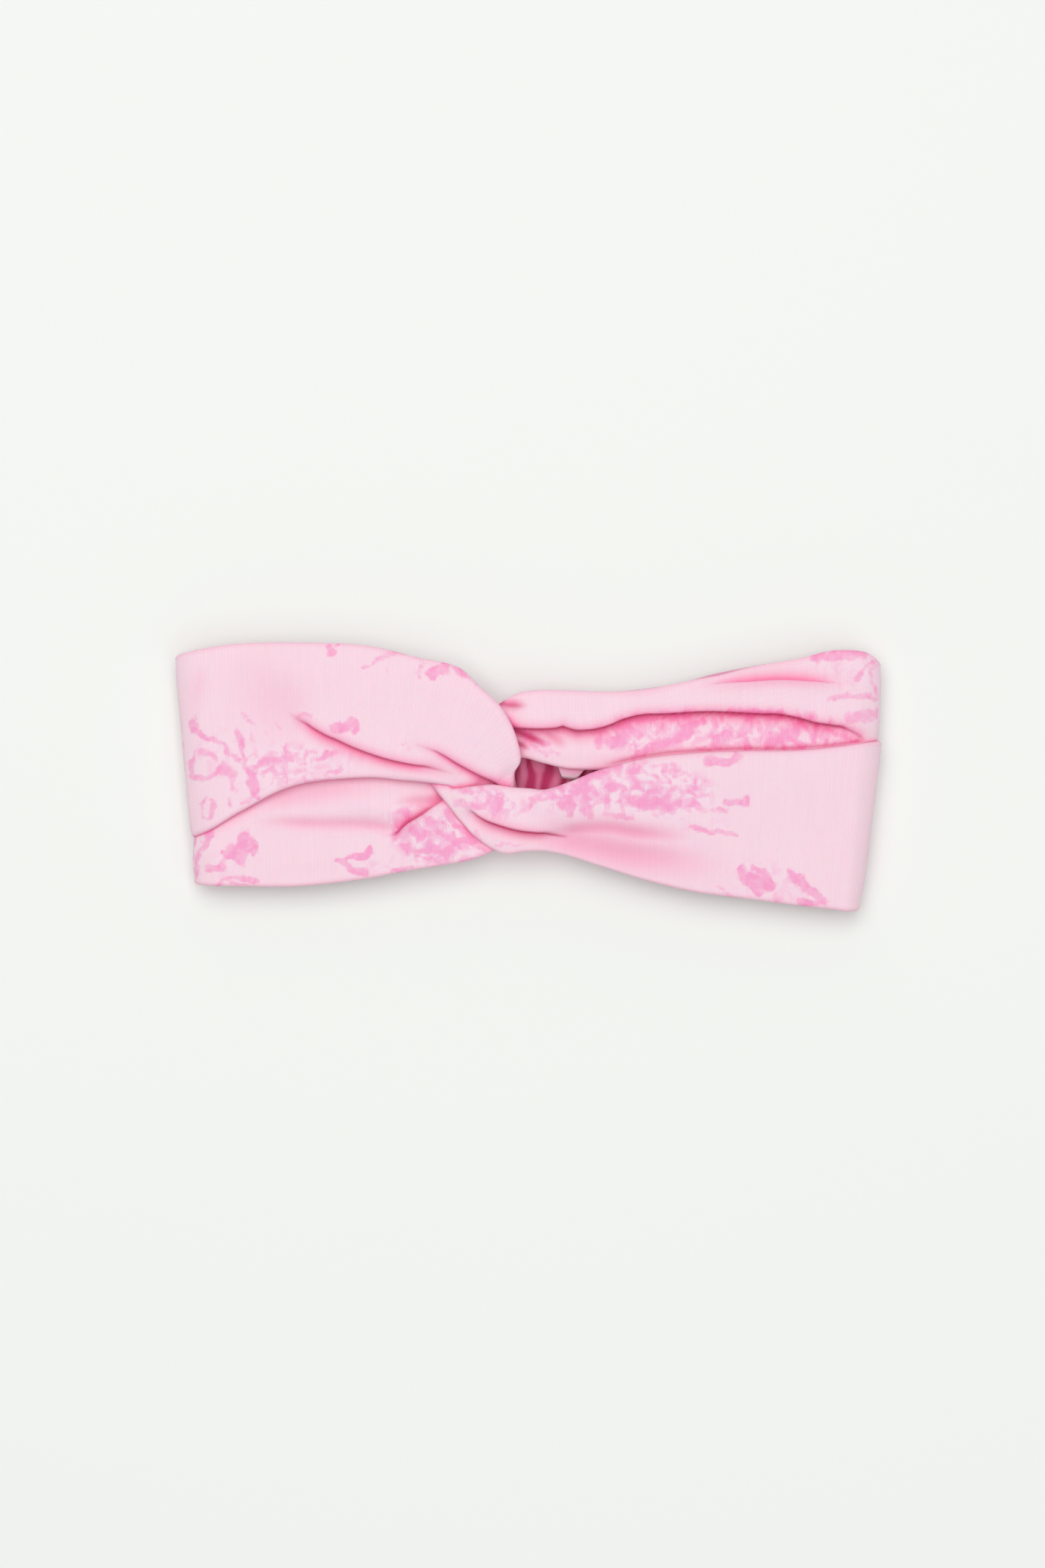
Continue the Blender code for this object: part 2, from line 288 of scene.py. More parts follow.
# Stations from one back seam to the other: outer edge, inner edge, each x, y, z in millimetres.
LEFT_STATIONS = [
    ((-65.4, 24, 1.6), (-65.4, -5.6, 1.6)),
    ((-90, 32, 1.6), (-89, -12.4, 1.6)),
    ((-112, 39.3, 1.7), (-105, -19, 1.7)),
    ((-118.7, 41.2, 6.5), (-112.9, -20.4, 7.0)),
    ((-112.5, 43.0, 11.5), (-106.9, -17.6, 13.0)),
    ((-98, 45.2, 11.9), (-97, -11.6, 14.6)),
    ((-79, 45.6, 12.2), (-79, -2.9, 15.2)),
    ((-56, 44.7, 13.0), (-56, -0.2, 15.6)),
    ((-38, 40.6, 14.6), (-42, -1.3, 15.8)),
    ((-24.1, 37.3, 15.8), (-33.5, -2.1, 16.0)),
    ((-16.4, 30.6, 16.4), (-29.5, -2.6, 16.0)),
    ((-10.0, 24.6, 16.6), (-28, -2.9, 15.8)),
    ((-5.6, 17.6, 16.6), (-27, -3.2, 15.4)),
    ((-3.0, 10.0, 16.2), (-26.2, -3.6, 15.0)),
    ((-2.6, 5.6, 15.2), (-25.8, -4.2, 14.4)),
    ((-4.6, 1.6, 13.8), (-25.6, -5, 13.4)),
    ((-3.8, -4.5, 12.4), (-25.6, -6.4, 12.2)),
    ((-4, -12.5, 11.3), (-25.8, -8.2, 11.3)),
    ((-7.4, -20.5, 11.3), (-27, -10.2, 11.3)),
    ((-13, -25.6, 11.3), (-26.6, -9.0, 11.5)),
    ((-21, -28.4, 11.3), (-27.4, -3.6, 12.4)),
    ((-31, -30.2, 11.3), (-32.0, 0.4, 12.2)),
    ((-41, -31.8, 11.3), (-40.5, 2.0, 11.8)),
    ((-56, -34.6, 11.3), (-57, 2.4, 11.3)),
    ((-78, -37, 11.3), (-79, 0.4, 11.3)),
    ((-98, -37, 11.4), (-97, -8.4, 11.3)),
    ((-107.5, -36.8, 11.4), (-106.8, -16.8, 10.9)),
    ((-112.4, -36.2, 6.5), (-112.5, -20.2, 6.3)),
    ((-106, -34.2, 1.7), (-105.4, -20.2, 1.7)),
    ((-90, -29.8, 1.6), (-89, -13.8, 1.6)),
    ((-65.4, -24, 1.6), (-65.4, -6.4, 1.6)),
]
LEFT_THICKNESS = [(0, 1.4), (1, 2.6), (29, 2.6), (30, 1.4)]  # station, thickness
LEFT_UPPER_LEG = (3.2, 16)
LEFT_LOWER_LEG = (17, 26.8)


def curve_through(points, spots):
    """Points of the Catmull-Rom curve through the given ones, at the given station numbers."""
    points = np.asarray(points, float)
    last = len(points) - 1
    span = np.clip(np.floor(spots).astype(int), 0, last - 1)
    share = (spots - span)[:, None]
    p0, p1, p2, p3 = (points[np.clip(span + k, 0, last)] for k in (-1, 0, 1, 2))
    curve = 2 * p1 + (p2 - p0) * share + (2 * p0 - 5 * p1 + 4 * p2 - p3) * share**2
    return 0.5 * (curve + (3 * p1 - p0 - 3 * p2 + p3) * share**3)


def even_spots(points, step):
    """Station numbers that cut the curve through the points into even steps of about that length."""
    fine = np.linspace(0, len(points) - 1, 40 * (len(points) - 1) + 1)
    line = curve_through(points, fine)
    run = np.concatenate([[0], np.cumsum(np.linalg.norm(np.diff(line, axis=0), axis=1))])
    count = max(2, round(run[-1] / step) + 1)
    return np.interp(np.linspace(0, run[-1], count), run, fine), run[-1]


def smooth(value):
    """0 below 0, 1 above 1, and smooth between."""
    value = np.clip(value, 0, 1)
    return value * value * (3 - 2 * value)


def field(points, scale, seed):
    """Smooth noise between about -1 and 1 at each point. Scale is the size of its waves along each axis."""
    points = np.atleast_2d(points) / np.asarray(scale)
    third = np.zeros(len(points)) if points.shape[1] < 3 else points[:, 2]
    places = zip(points[:, 0], points[:, 1], third + seed * SEED_STEP)
    return np.array([noise.noise(Vector(place)) for place in places])


class Tube:
    """A flattened tube of cloth while it is being shaped, in millimetres, as a grid of rings by points."""

    def __init__(self, stations, thickness, facing=1, crown=0.0):
        outer = [edge for edge, _ in stations]
        inner = [edge for _, edge in stations]
        middle = [tuple((a + b) / 2 for a, b in zip(*pair)) for pair in stations]
        self.spots, self.length = even_spots(middle, STEP)
        out_line, in_line = curve_through(outer, self.spots), curve_through(inner, self.spots)
        centre, across = (out_line + in_line) / 2, (out_line - in_line) / 2
        along = np.gradient(centre, axis=0)
        normal = np.cross(along, across) * facing
        normal /= np.linalg.norm(normal, axis=1)[:, None]
        half = np.linalg.norm(across, axis=1)
        side = across / half[:, None]
        thick = np.interp(self.spots, *zip(*thickness)) / 2
        # Cosine spacing puts more points in the rolled edges. The face goes from the outer edge to the inner.
        face = np.cos(np.linspace(0.0, math.pi, TOP_POINTS))
        under = -np.cos(np.linspace(0.0, math.pi, UNDER_POINTS + 2)[1:-1])
        self.across = np.concatenate([face, under])
        self.is_face = np.concatenate([np.ones(TOP_POINTS, bool), np.zeros(UNDER_POINTS, bool)])
        from_edge = half[:, None] * (1 - np.abs(self.across))[None, :]
        roll = np.minimum(from_edge / thick[:, None], 1)
        rise = thick[:, None] * np.sqrt(np.maximum(1 - (1 - roll) ** 2, 0))
        rise += crown * smooth(from_edge / CROWN_WIDTH) * self.is_face
        rise *= np.where(self.is_face, 1, -1)
        spread = (half[:, None] * self.across)[:, :, None] * side[:, None, :]
        self.points = centre[:, None, :] + spread + normal[:, None, :] * rise[:, :, None]
        self.normal = np.broadcast_to(normal[:, None, :], self.points.shape)
        self.spot = np.broadcast_to(self.spots[:, None], rise.shape)
        self.from_edge = from_edge
        self.ink, self.bloom, self.nip, self.tuck, self.shade_blush = (np.zeros(rise.shape) for _ in range(5))
        self.width = 2 * half.max()  # pressed flat
        self.flat_area = float(np.mean(2 * half)) * self.length
        # A rolled edge turns out of the light, so painted shade deepens its pink, most of all on the under
        # side.
        self.shade_blush += np.where(self.is_face, FACE_EDGE_SHADE, UNDER_EDGE_SHADE) * smooth(1 - from_edge / ROLLED)
        run = np.linspace(0, self.length, len(self.spots))
        wide = half[:, None] * self.across[None, :]
        width = np.where(self.is_face, wide, 2 * half.max() + 4 - wide)
        self.cloth = np.stack([np.broadcast_to(run[:, None], rise.shape), width], axis=2)

    def leg(self, spots):
        """A mask of the face of one leg, between two station numbers."""
        return self.is_face[None, :] & (self.spot >= spots[0]) & (self.spot <= spots[1])


def measure_to(points, line):
    """For each point, seen from above: the signed distance to the line (positive on its left), the share of
    the line's length at the nearest place, how far past an end the point is, and the line's left there."""
    spans = len(line) - 1
    line = curve_through([(*p, 0) for p in line], np.linspace(0, spans, 8 * spans + 1))[:, :2]
    ahead = np.gradient(line, axis=0)
    ahead /= np.linalg.norm(ahead, axis=1)[:, None]
    run = np.concatenate([[0], np.cumsum(np.linalg.norm(np.diff(line, axis=0), axis=1))])
    best = np.full(len(points), 1e9)
    share, direction, offset = np.zeros(len(points)), np.zeros((len(points), 2)), np.zeros((len(points), 2))
    for k in range(len(line) - 1):
        step = line[k + 1] - line[k]
        part = np.clip(((points - line[k]) @ step) / (step @ step), 0, 1)
        gap = points - line[k] - part[:, None] * step
        distance = np.linalg.norm(gap, axis=1)
        nearer = distance < best
        best[nearer] = distance[nearer]
        offset[nearer] = gap[nearer]
        share[nearer] = (run[k] + part * (run[k + 1] - run[k]))[nearer] / run[-1]
        direction[nearer] = (ahead[k] + part[:, None] * (ahead[k + 1] - ahead[k]))[nearer]
    direction /= np.linalg.norm(direction, axis=1)[:, None]
    left = np.stack([-direction[:, 1], direction[:, 0]], axis=1)
    signed = np.einsum("ij,ij->i", offset, left)
    past = np.abs(np.einsum("ij,ij->i", offset, direction))
    return signed, share, past, left


FOLD_REACH = 3.5  # widths from a fold's line, past which the cloth lies still
FOLD_BACK = 2.1  # how sharply a lapped fold turns back over itself
FOLD_PEAK = 2.33  # brings the top of its roll up to its depth
CREASE_SHADE_REACH = 0.55  # mm from a fold's edge over which its painted dark shade line fades
UNDER_REACH = 1.6 * CREASE_SHADE_REACH  # the same, under the roll
ROLL_REACH = 2.2  # mm over which the painted shade blush fades up the roll


def overhang(fold, width):
    """How far the rolled cloth of a fold reaches over the cloth on its right, and how far from the fold's
    line, along the cloth, its outermost part lies."""
    away = np.linspace(0, 2 * width, 81)
    folds = np.linspace(0, 4, 81)
    reach = -away * (1 - folds[:, None] * np.exp(-((away / width) ** 2)))
    return np.interp(fold, folds, reach.max(axis=1)), np.interp(fold, folds, away[reach.argmax(axis=1)])


def crease(tube, leg, line, width, depth, lap=0.0, fade=(0.3, 0.3), nip=0.0, shade_blush=0.0, crease_shade_fade=None):
    """Works one fold into a leg. A plain crease sinks by depth; a lapped one also rolls the cloth on its left
    over the cloth on its right by lap. It fades in and out over these shares of its length. Along it, nip
    paints a dark shade line and shade_blush a wider painted pink shade."""
    mask = tube.leg(leg)
    spots = np.argwhere(mask)
    xy = tube.points[mask][:, :2]
    reach = FOLD_REACH * width
    line_xy = np.asarray(line, float)
    low, high = line_xy.min(axis=0) - reach, line_xy.max(axis=0) + reach
    near = np.all((xy > low) & (xy < high), axis=1)
    spots, xy = spots[near], xy[near]
    signed, share, past, left = measure_to(xy, line)

    def faded(ends):
        ends = np.maximum(ends, 1e-6)
        along = smooth(share / ends[0]) * smooth((1 - share) / ends[1])
        return along * np.exp(-((past / (0.5 * width)) ** 2))

    strength, dark = faded(fade), faded(crease_shade_fade or fade)
    bell = np.exp(-((signed / width) ** 2))
    rows, columns = spots[:, 0], spots[:, 1]
    moved = tube.points[rows, columns]
    if lap > 0:
        # How strongly the distance folds back on itself for the wanted overlap.
        fold = 1 + FOLD_BACK * (lap * strength / width) ** 0.5 * strength
        fold = np.where(strength > 1e-3, fold, 0) * smooth(strength * 1.5)
        shift = -signed * fold * bell
        moved[:, :2] += left * shift[:, None]
        moved[:, 2] += depth * strength * FOLD_PEAK * (signed / width) * bell
    else:
        moved[:, 2] -= depth * strength * bell
    tube.points[rows, columns] = moved
    # Painted shade: a dark line where the cloth on the right comes out from under the roll, or deep in a
    # plain crease, and a wider pink blush round it.
    if lap > 0:
        reach, outermost = overhang(fold, width)
        out = -signed * (1 - fold * bell) - reach
        hidden = (out < 0) & (signed < outermost)
        on_roll = ~hidden & (signed >= 0)
        below = np.where(signed < 0, np.exp(-((out / UNDER_REACH) ** 2)), 0.15)
        line = np.exp(-((out / CREASE_SHADE_REACH) ** 2)) * np.where(on_roll, 0.5, 1)
        line = np.where(hidden, below, line)
        wide = np.where(hidden, 1, np.exp(-((out / np.where(on_roll, ROLL_REACH, 0.9 * width)) ** 2)))
    else:
        line, wide = bell**3, np.exp(-((signed / (1.3 * width)) ** 2))
    tube.nip[rows, columns] = np.maximum(tube.nip[rows, columns], nip * dark * line)
    tube.shade_blush[rows, columns] = np.maximum(tube.shade_blush[rows, columns], shade_blush * dark * wide)


def soften(tube, rounds=2, strength=0.6):
    """Evens out the small steps that crossing folds leave in the face of a tube, but not in its edges."""
    for _ in range(rounds):
        padded = np.pad(tube.points, ((1, 1), (1, 1), (0, 0)), mode="edge")
        mean = (padded[:-2, 1:-1] + padded[2:, 1:-1] + padded[1:-1, :-2] + padded[1:-1, 2:]) / 4
        share = strength * (tube.is_face[None, :] & (tube.from_edge > 1))
        share[:2], share[-2:] = 0, 0
        tube.points += (mean - tube.points) * share[:, :, None]


def ruffle(tube, where, depth, along, across, seed):
    """Raises and lowers the cloth in soft waves of these sizes, by up to depth times where."""
    cloth = tube.cloth.reshape(-1, 2)
    wave = field(cloth, (along, across), seed).reshape(where.shape)
    tube.points += tube.normal * (wave * depth * where)[:, :, None]


def paint(tube, leg, strokes):
    """Lays the strokes of the print on one leg: radius, strength, and the points of the stroke. The cloth
    took the ink unevenly, so their outlines wander."""
    mask = tube.leg(leg)
    xy = tube.points[mask][:, :2]
    wander = np.zeros(xy.shape)
    for size, amount, seed in ((3.2, 1.1, 41), (1.3, 0.55, 43)):
        wander += np.stack([field(xy, (size, size), seed + axis) for axis in (0, 1)], axis=1) * amount
    swell = 1.12 + 0.55 * field(xy, (2.4, 2.4), 45)
    xy = xy + wander
    ink = tube.ink[mask]
    for radius, strength, line in strokes:
        points = np.asarray(line if len(line) > 1 else (line[0], np.add(line[0], 0.1)), float)
        distance = np.full(len(xy), 1e9)
        for start, end in zip(points, points[1:]):
            step = end - start
            part = np.clip(((xy - start) @ step) / (step @ step), 0, 1)
            distance = np.minimum(distance, np.linalg.norm(xy - start - part[:, None] * step, axis=1))
        ink = np.maximum(ink, strength * smooth(1.45 - distance / (radius * swell * 1.1)))
    tube.ink[mask] = ink


def flower_bed(tube, leg, beds):
    """Marks where flower heads are dense: each bed is a centre, its two half sizes, its turn and strength."""
    mask = tube.leg(leg)
    xy = tube.points[mask][:, :2]
    bloom = tube.bloom[mask]
    for centre, sizes, turn, strength in beds:
        cos, sin = math.cos(math.radians(turn)), math.sin(math.radians(turn))
        away = np.linalg.norm((xy - centre) @ ((cos, -sin), (sin, cos)) / np.asarray(sizes), axis=1)
        bloom = np.maximum(bloom, strength * smooth(1.5 - away))
    tube.bloom[mask] = bloom


FIRST_SEEN = 3.2  # station where a loop first shows at the front
FRONT_FROM = 9  # mm, the height above which cloth is part of the front
HEAD_SIZE, DAB_SIZE = (26, 22), (7, 6)


def scatter_print(tube, seed):
    """Fills in the print where the tube lies behind or faces inwards, in loose clusters."""
    hidden = ~(tube.leg((FIRST_SEEN, len(tube.spots))) & (tube.points[:, :, 2] > FRONT_FROM))
    cloth = tube.cloth[hidden]
    heads = smooth((field(cloth, HEAD_SIZE, seed) - 0.05) * 4)
    dabs = smooth((field(cloth, DAB_SIZE, seed + 1) - 0.25) * 4) * heads
    tube.bloom[hidden] = heads * 0.9
    tube.ink[hidden] = dabs * 0.7


LOWEST = 0.05  # mm above the floor
SEAM = 0.001  # width of cloth map left where the tube's two sides meet


def sew_up(tube, name, material):
    """Turns the shaped grid into one closed piece, with its cloth map and the attributes of its print and of
    its painted shade.
    """
    rings, around = tube.ink.shape
    tube.points[:, :, 2] = np.maximum(tube.points[:, :, 2], LOWEST)
    bm = bmesh.new()
    uv = bm.loops.layers.uv.new("cloth")
    layers = {key: bm.verts.layers.float.new(key) for key in PRINT_AND_SHADE_LAYERS}
    verts = [[bm.verts.new(Vector(p) * MM) for p in ring] for ring in tube.points]
    for key, layer in layers.items():
        for ring, values in zip(verts, getattr(tube, key).tolist()):
            for vert, value in zip(ring, values):
                vert[layer] = value
    cloth = tube.cloth * MM
    seam = cloth[:, :, 1].max() + SEAM
    for i in range(rings - 1):
        for j in range(around):
            k = (j + 1) % around
            corners = ((i, j), (i + 1, j), (i + 1, k), (i, k))
            face = bm.faces.new([verts[row][column] for row, column in corners])
            for loop, (row, column) in zip(face.loops, corners):
                run, width = cloth[row, column]
                loop[uv].uv = (run, seam if column < j else width)
    for ring in (verts[0], verts[-1]):
        bm.faces.new(ring)
    bmesh.ops.recalc_face_normals(bm, faces=bm.faces)
    for face in bm.faces:
        face.smooth = len(face.verts) == 4
    mesh = bpy.data.meshes.new(name)
    bm.to_mesh(mesh)
    bm.free()
    mesh.materials.append(material)
    return put_in_scene(name, mesh)


left = Tube(LEFT_STATIONS, LEFT_THICKNESS, crown=CROWN)
near_twist = np.exp(-np.linalg.norm(left.points[:, :, :2] - (-18, -2), axis=2) / 26)
ruffle(left, 0.25 + 0.2 * near_twist, 1.0, 30, 22, 1)
ruffle(left, 0.9 * near_twist * left.is_face, 0.7, 34, 5, 2)

upper = LEFT_UPPER_LEG
crease(left, upper, [(-108, 38.5), (-98, 34), (-87.8, 27.5), (-79, 20.5), (-70, 16)],
       8, 2.0, fade=(0.6, 0.35), shade_blush=0.2)
crease(left, upper, [(-109.5, 39), (-112, 30), (-115, 16)], 2.6, 0.35, fade=(0.3, 0.6), shade_blush=0.16)
crease(left, upper, [(-82.5, 23), (-76.1, 18.7), (-68, 15), (-64.8, 13.8), (-57.7, 10.6), (-48.1, 7.3),
                     (-38.6, 4.6), (-31, 2.8), (-22, 0.2)],
       3.2, 1.5, lap=1.0, fade=(0.3, 0.45), nip=0.5, shade_blush=0.55, crease_shade_fade=(0.12, 0.2))
crease(left, upper, [(-42.6, 12.6), (-31, 8.7), (-23.7, 5.1), (-16.1, 1.1), (-11.2, -1.3), (-8.7, -2.8),
                     (-4.1, -4.3)],
       2.3, 0.9, lap=0.7, fade=(0.6, 0.0), nip=0.6, shade_blush=0.6, crease_shade_fade=(0.5, 0.0))
crease(left, upper, [(-62, 4.5), (-48, 3.2), (-36, 0.8), (-26, -1.2)], 2.2, -0.6, fade=(0.6, 0.2))

lower = LEFT_LOWER_LEG
crease(left, lower, [(-96, -15.2), (-84, -15.2), (-71.2, -15.6), (-56.2, -15.8), (-48.6, -16.8),
                     (-43, -18.7)],
       1.9, 0.85, fade=(0.4, 0.12), nip=0.1, shade_blush=0.38)
crease(left, lower, [(-93, -11.6), (-84, -7.2), (-74, -5.6), (-60, -4.2), (-46, -4.2)],
       3.0, 0.7, fade=(0.3, 0.5), shade_blush=0.3)
crease(left, lower, [(-75, -7.5), (-58, -8.8), (-44, -11), (-34, -9.6)], 4.5, -1.1, fade=(0.5, 0.5))
crease(left, lower, [(-27, -7.2), (-33.2, -11.6), (-36.1, -13.6), (-41.3, -16.8), (-47, -20.6)],
       2.4, 1.5, lap=0.8, fade=(0.0, 0.35), nip=0.85, shade_blush=0.4, crease_shade_fade=(0.55, 0.12))
crease(left, lower, [(-46.5, -8.2), (-36.9, -7.9), (-28, -7.6)],
       1.7, 0.8, fade=(0.5, 0.0), nip=0.12, shade_blush=0.45)
crease(left, lower, [(-44, -26), (-36, -21), (-29, -13.5), (-26, -9)], 2.6, -0.7, fade=(0.4, 0.0))

soften(left)

LEFT_UPPER_PRINT = [
    (1.3, 0.85, [(-67.4, 44.1), (-66.5, 42.4)]),
    (0.8, 0.7, [(-64.8, 44.4)]),
    (0.7, 0.55, [(-55.7, 37.2), (-51.5, 39.3), (-46.5, 41.4), (-41.4, 42)]),
    (0.5, 0.4, [(-38.4, 40.7), (-35.5, 38.6)]),
    (0.7, 0.45, [(-36.8, 37.5), (-36.5, 33.6)]),
    (1.6, 0.85, [(-33, 34.7), (-30.4, 36.1), (-27.7, 36.7)]),
    (1.2, 0.75, [(-23.5, 36.5), (-21.2, 33.6)]),
    (0.7, 0.5, [(-19.5, 34.4), (-18.2, 31.9)]),
    (0.7, 0.35, [(-47.7, 36.3), (-47.3, 35.2)]),
    (0.7, 0.6, [(-77.7, 20.7), (-73.9, 21.3)]),
    (1.6, 0.9, [(-65.4, 16.1), (-62.5, 16.7), (-58.7, 18.6), (-58.3, 16.1)]),
    (1, 0.4, [(-41.4, 11), (-40.6, 9.1)]),
    (1.4, 0.85, [(-113.5, 18.5), (-113.1, 16.3)]),
    (0.8, 0.75, [(-111.8, 15), (-108.4, 12.9), (-103.1, 11.6), (-101.7, 8.7), (-98.1, 6.3)]),
    (1, 0.75, [(-98.7, 15.4), (-96.9, 12.1), (-96, 6.6)]),
    (0.8, 0.5, [(-96.2, 21.2), (-92.8, 18)]),
    (0.7, 0.5, [(-93.7, 15.4), (-92.4, 12.1)]),
    (0.6, 0.5, [(-88.6, 15.3), (-87.8, 14.2)]),
    (0.8, 0.65, [(-112.7, 8.7), (-108.9, 8.4), (-105.7, 6.6), (-105.5, 5.3)]),
    (0.8, 0.7, [(-113.5, 7.8), (-114.4, 4.5), (-113.9, 0.1), (-109.7, -0.8), (-105.5, 0.4), (-104.2, 2.6)]),
    (1.9, 0.85, [(-103.1, 2.8), (-100.8, 1.9)]),
    (0.9, 0.5, [(-100, -1.4), (-100.4, -3.8)]),
    (1.3, 0.8, [(-93.7, 1.9), (-92.8, -1.4), (-91.8, -6.1)]),
    (1, 0.75, [(-91.6, 3.8), (-88.6, 5.6), (-82.7, 6.1), (-80, 6.6)]),
    (0.8, 0.6, [(-81.9, 10.4), (-80.9, 6.6)]),
    (0.8, 0.55, [(-76, 4.9), (-73.9, 8.5), (-71.9, 8.7)]),
    (1, 0.7, [(-70.9, 5.7), (-65.4, 8.7)]),
    (0.7, 0.5, [(-78.7, 1.8), (-76, 2.8)]),
    (0.8, 0.55, [(-76, 0.2), (-74.1, -1.4)]),
    (0.8, 0.6, [(-68.4, 1.4), (-63.2, 3.2)]),
    (0.5, 0.45, [(-82.5, 2.8), (-81.7, -2.3)]),
    (0.7, 0.5, [(-71.6, -1.6), (-67.4, -0.3)]),
    (0.6, 0.4, [(-86.1, 1.9), (-86.8, -2.3)]),
    (0.6, 0.65, [(-108.7, -7.3), (-110.2, -10), (-109.7, -13.7), (-107.8, -13.9), (-106.2, -10.7),
                 (-106.7, -7.8)]),
    (0.8, 0.5, [(-100.8, -7.6), (-100.8, -9.2)]),
    (0.8, 0.5, [(-96.2, -8.8), (-92.7, -7)]),
    (0.6, 0.4, [(-85.7, 19.2), (-84, 17.1)]),
    (0.6, 0.35, [(-45.6, 2.4), (-44.6, 1.5)]),
    (0.5, 0.45, [(-78.5, 8.7), (-77.2, 6.1)]),
    (0.6, 0.4, [(-97.9, -2.3), (-98.6, -5.7)]),
]
LEFT_LOWER_PRINT = [
    (1, 0.75, [(-105.9, -17), (-108.4, -20.8), (-111, -25.5), (-111.9, -28.4), (-112.7, -31.8),
               (-113.1, -35.6)]),
    (1.7, 0.9, [(-102.1, -26.3), (-97.9, -24.6), (-92.8, -22.5)]),
    (1.5, 0.9, [(-96, -20.2), (-97.2, -24.2), (-97.9, -28.4)]),
    (0.8, 0.7, [(-92.8, -25.9), (-91.8, -21.8)]),
    (1.2, 0.8, [(-100.8, -23.4), (-99.6, -26.7)]),
    (1.3, 0.75, [(-107.6, -31.1), (-102.8, -30.5)]),
    (0.8, 0.65, [(-105.9, -36.5), (-101.3, -34), (-96.2, -34.3), (-92, -36)]),
    (0.7, 0.5, [(-101.3, -36), (-94.5, -36.5)]),
    (0.9, 0.9, [(-64.6, -28.3), (-61.6, -27.2), (-55.7, -26.7), (-53, -24.6)]),
    (1, 0.85, [(-63.3, -29.1), (-59.9, -31.6), (-54.7, -31.8)]),
    (0.5, 0.4, [(-57.6, -34.3), (-55.7, -34.7)]),
    (0.7, 0.35, [(-54, -16.6), (-53, -17.1)]),
    (1.3, 0.8, [(-39.3, -17.6), (-36.5, -20.7), (-34.6, -19.2)]),
    (1.1, 0.8, [(-32.1, -15.9), (-30.4, -19.2), (-26.9, -21)]),
    (0.8, 0.7, [(-40.4, -25.1), (-34.6, -24.6), (-30.3, -23.8)]),
    (0.8, 0.65, [(-30.3, -26.3), (-26, -24.6)]),
    (1.1, 0.85, [(-25.4, -21.8), (-21, -21.7)]),
    (0.7, 0.65, [(-45.6, -32), (-38.9, -30.5)]),
    (0.7, 0.55, [(-38, -26.7), (-33.8, -27.8)]),
    (1, 0.8, [(-27.5, -11.7), (-24.5, -15.9), (-20.3, -19.2), (-18.6, -22.1)]),
    (0.8, 0.55, [(-36.3, -17.5), (-33, -14.1)]),
    (0.7, 0.5, [(-29.6, -28.4), (-33, -26.3)]),
    (0.8, 0.7, [(-25.4, -19.2), (-23.5, -23.8)]),
    (0.8, 0.5, [(-16.9, -23.8), (-14.2, -25.9)]),
]
paint(left, upper, LEFT_UPPER_PRINT)
paint(left, lower, LEFT_LOWER_PRINT)
flower_bed(left, upper, [((-103, 7), (12, 11), 0, 0.35), ((-84, 4), (17, 8), 8, 0.55),
                         ((-66, 5), (12, 6), 10, 0.35)])
flower_bed(left, lower, [((-32, -22), (17, 9), -28, 1.0), ((-48, -30), (14, 5), -10, 0.35),
                         ((-100, -30), (12, 8), 0, 0.3)])
scatter_print(left, 5)

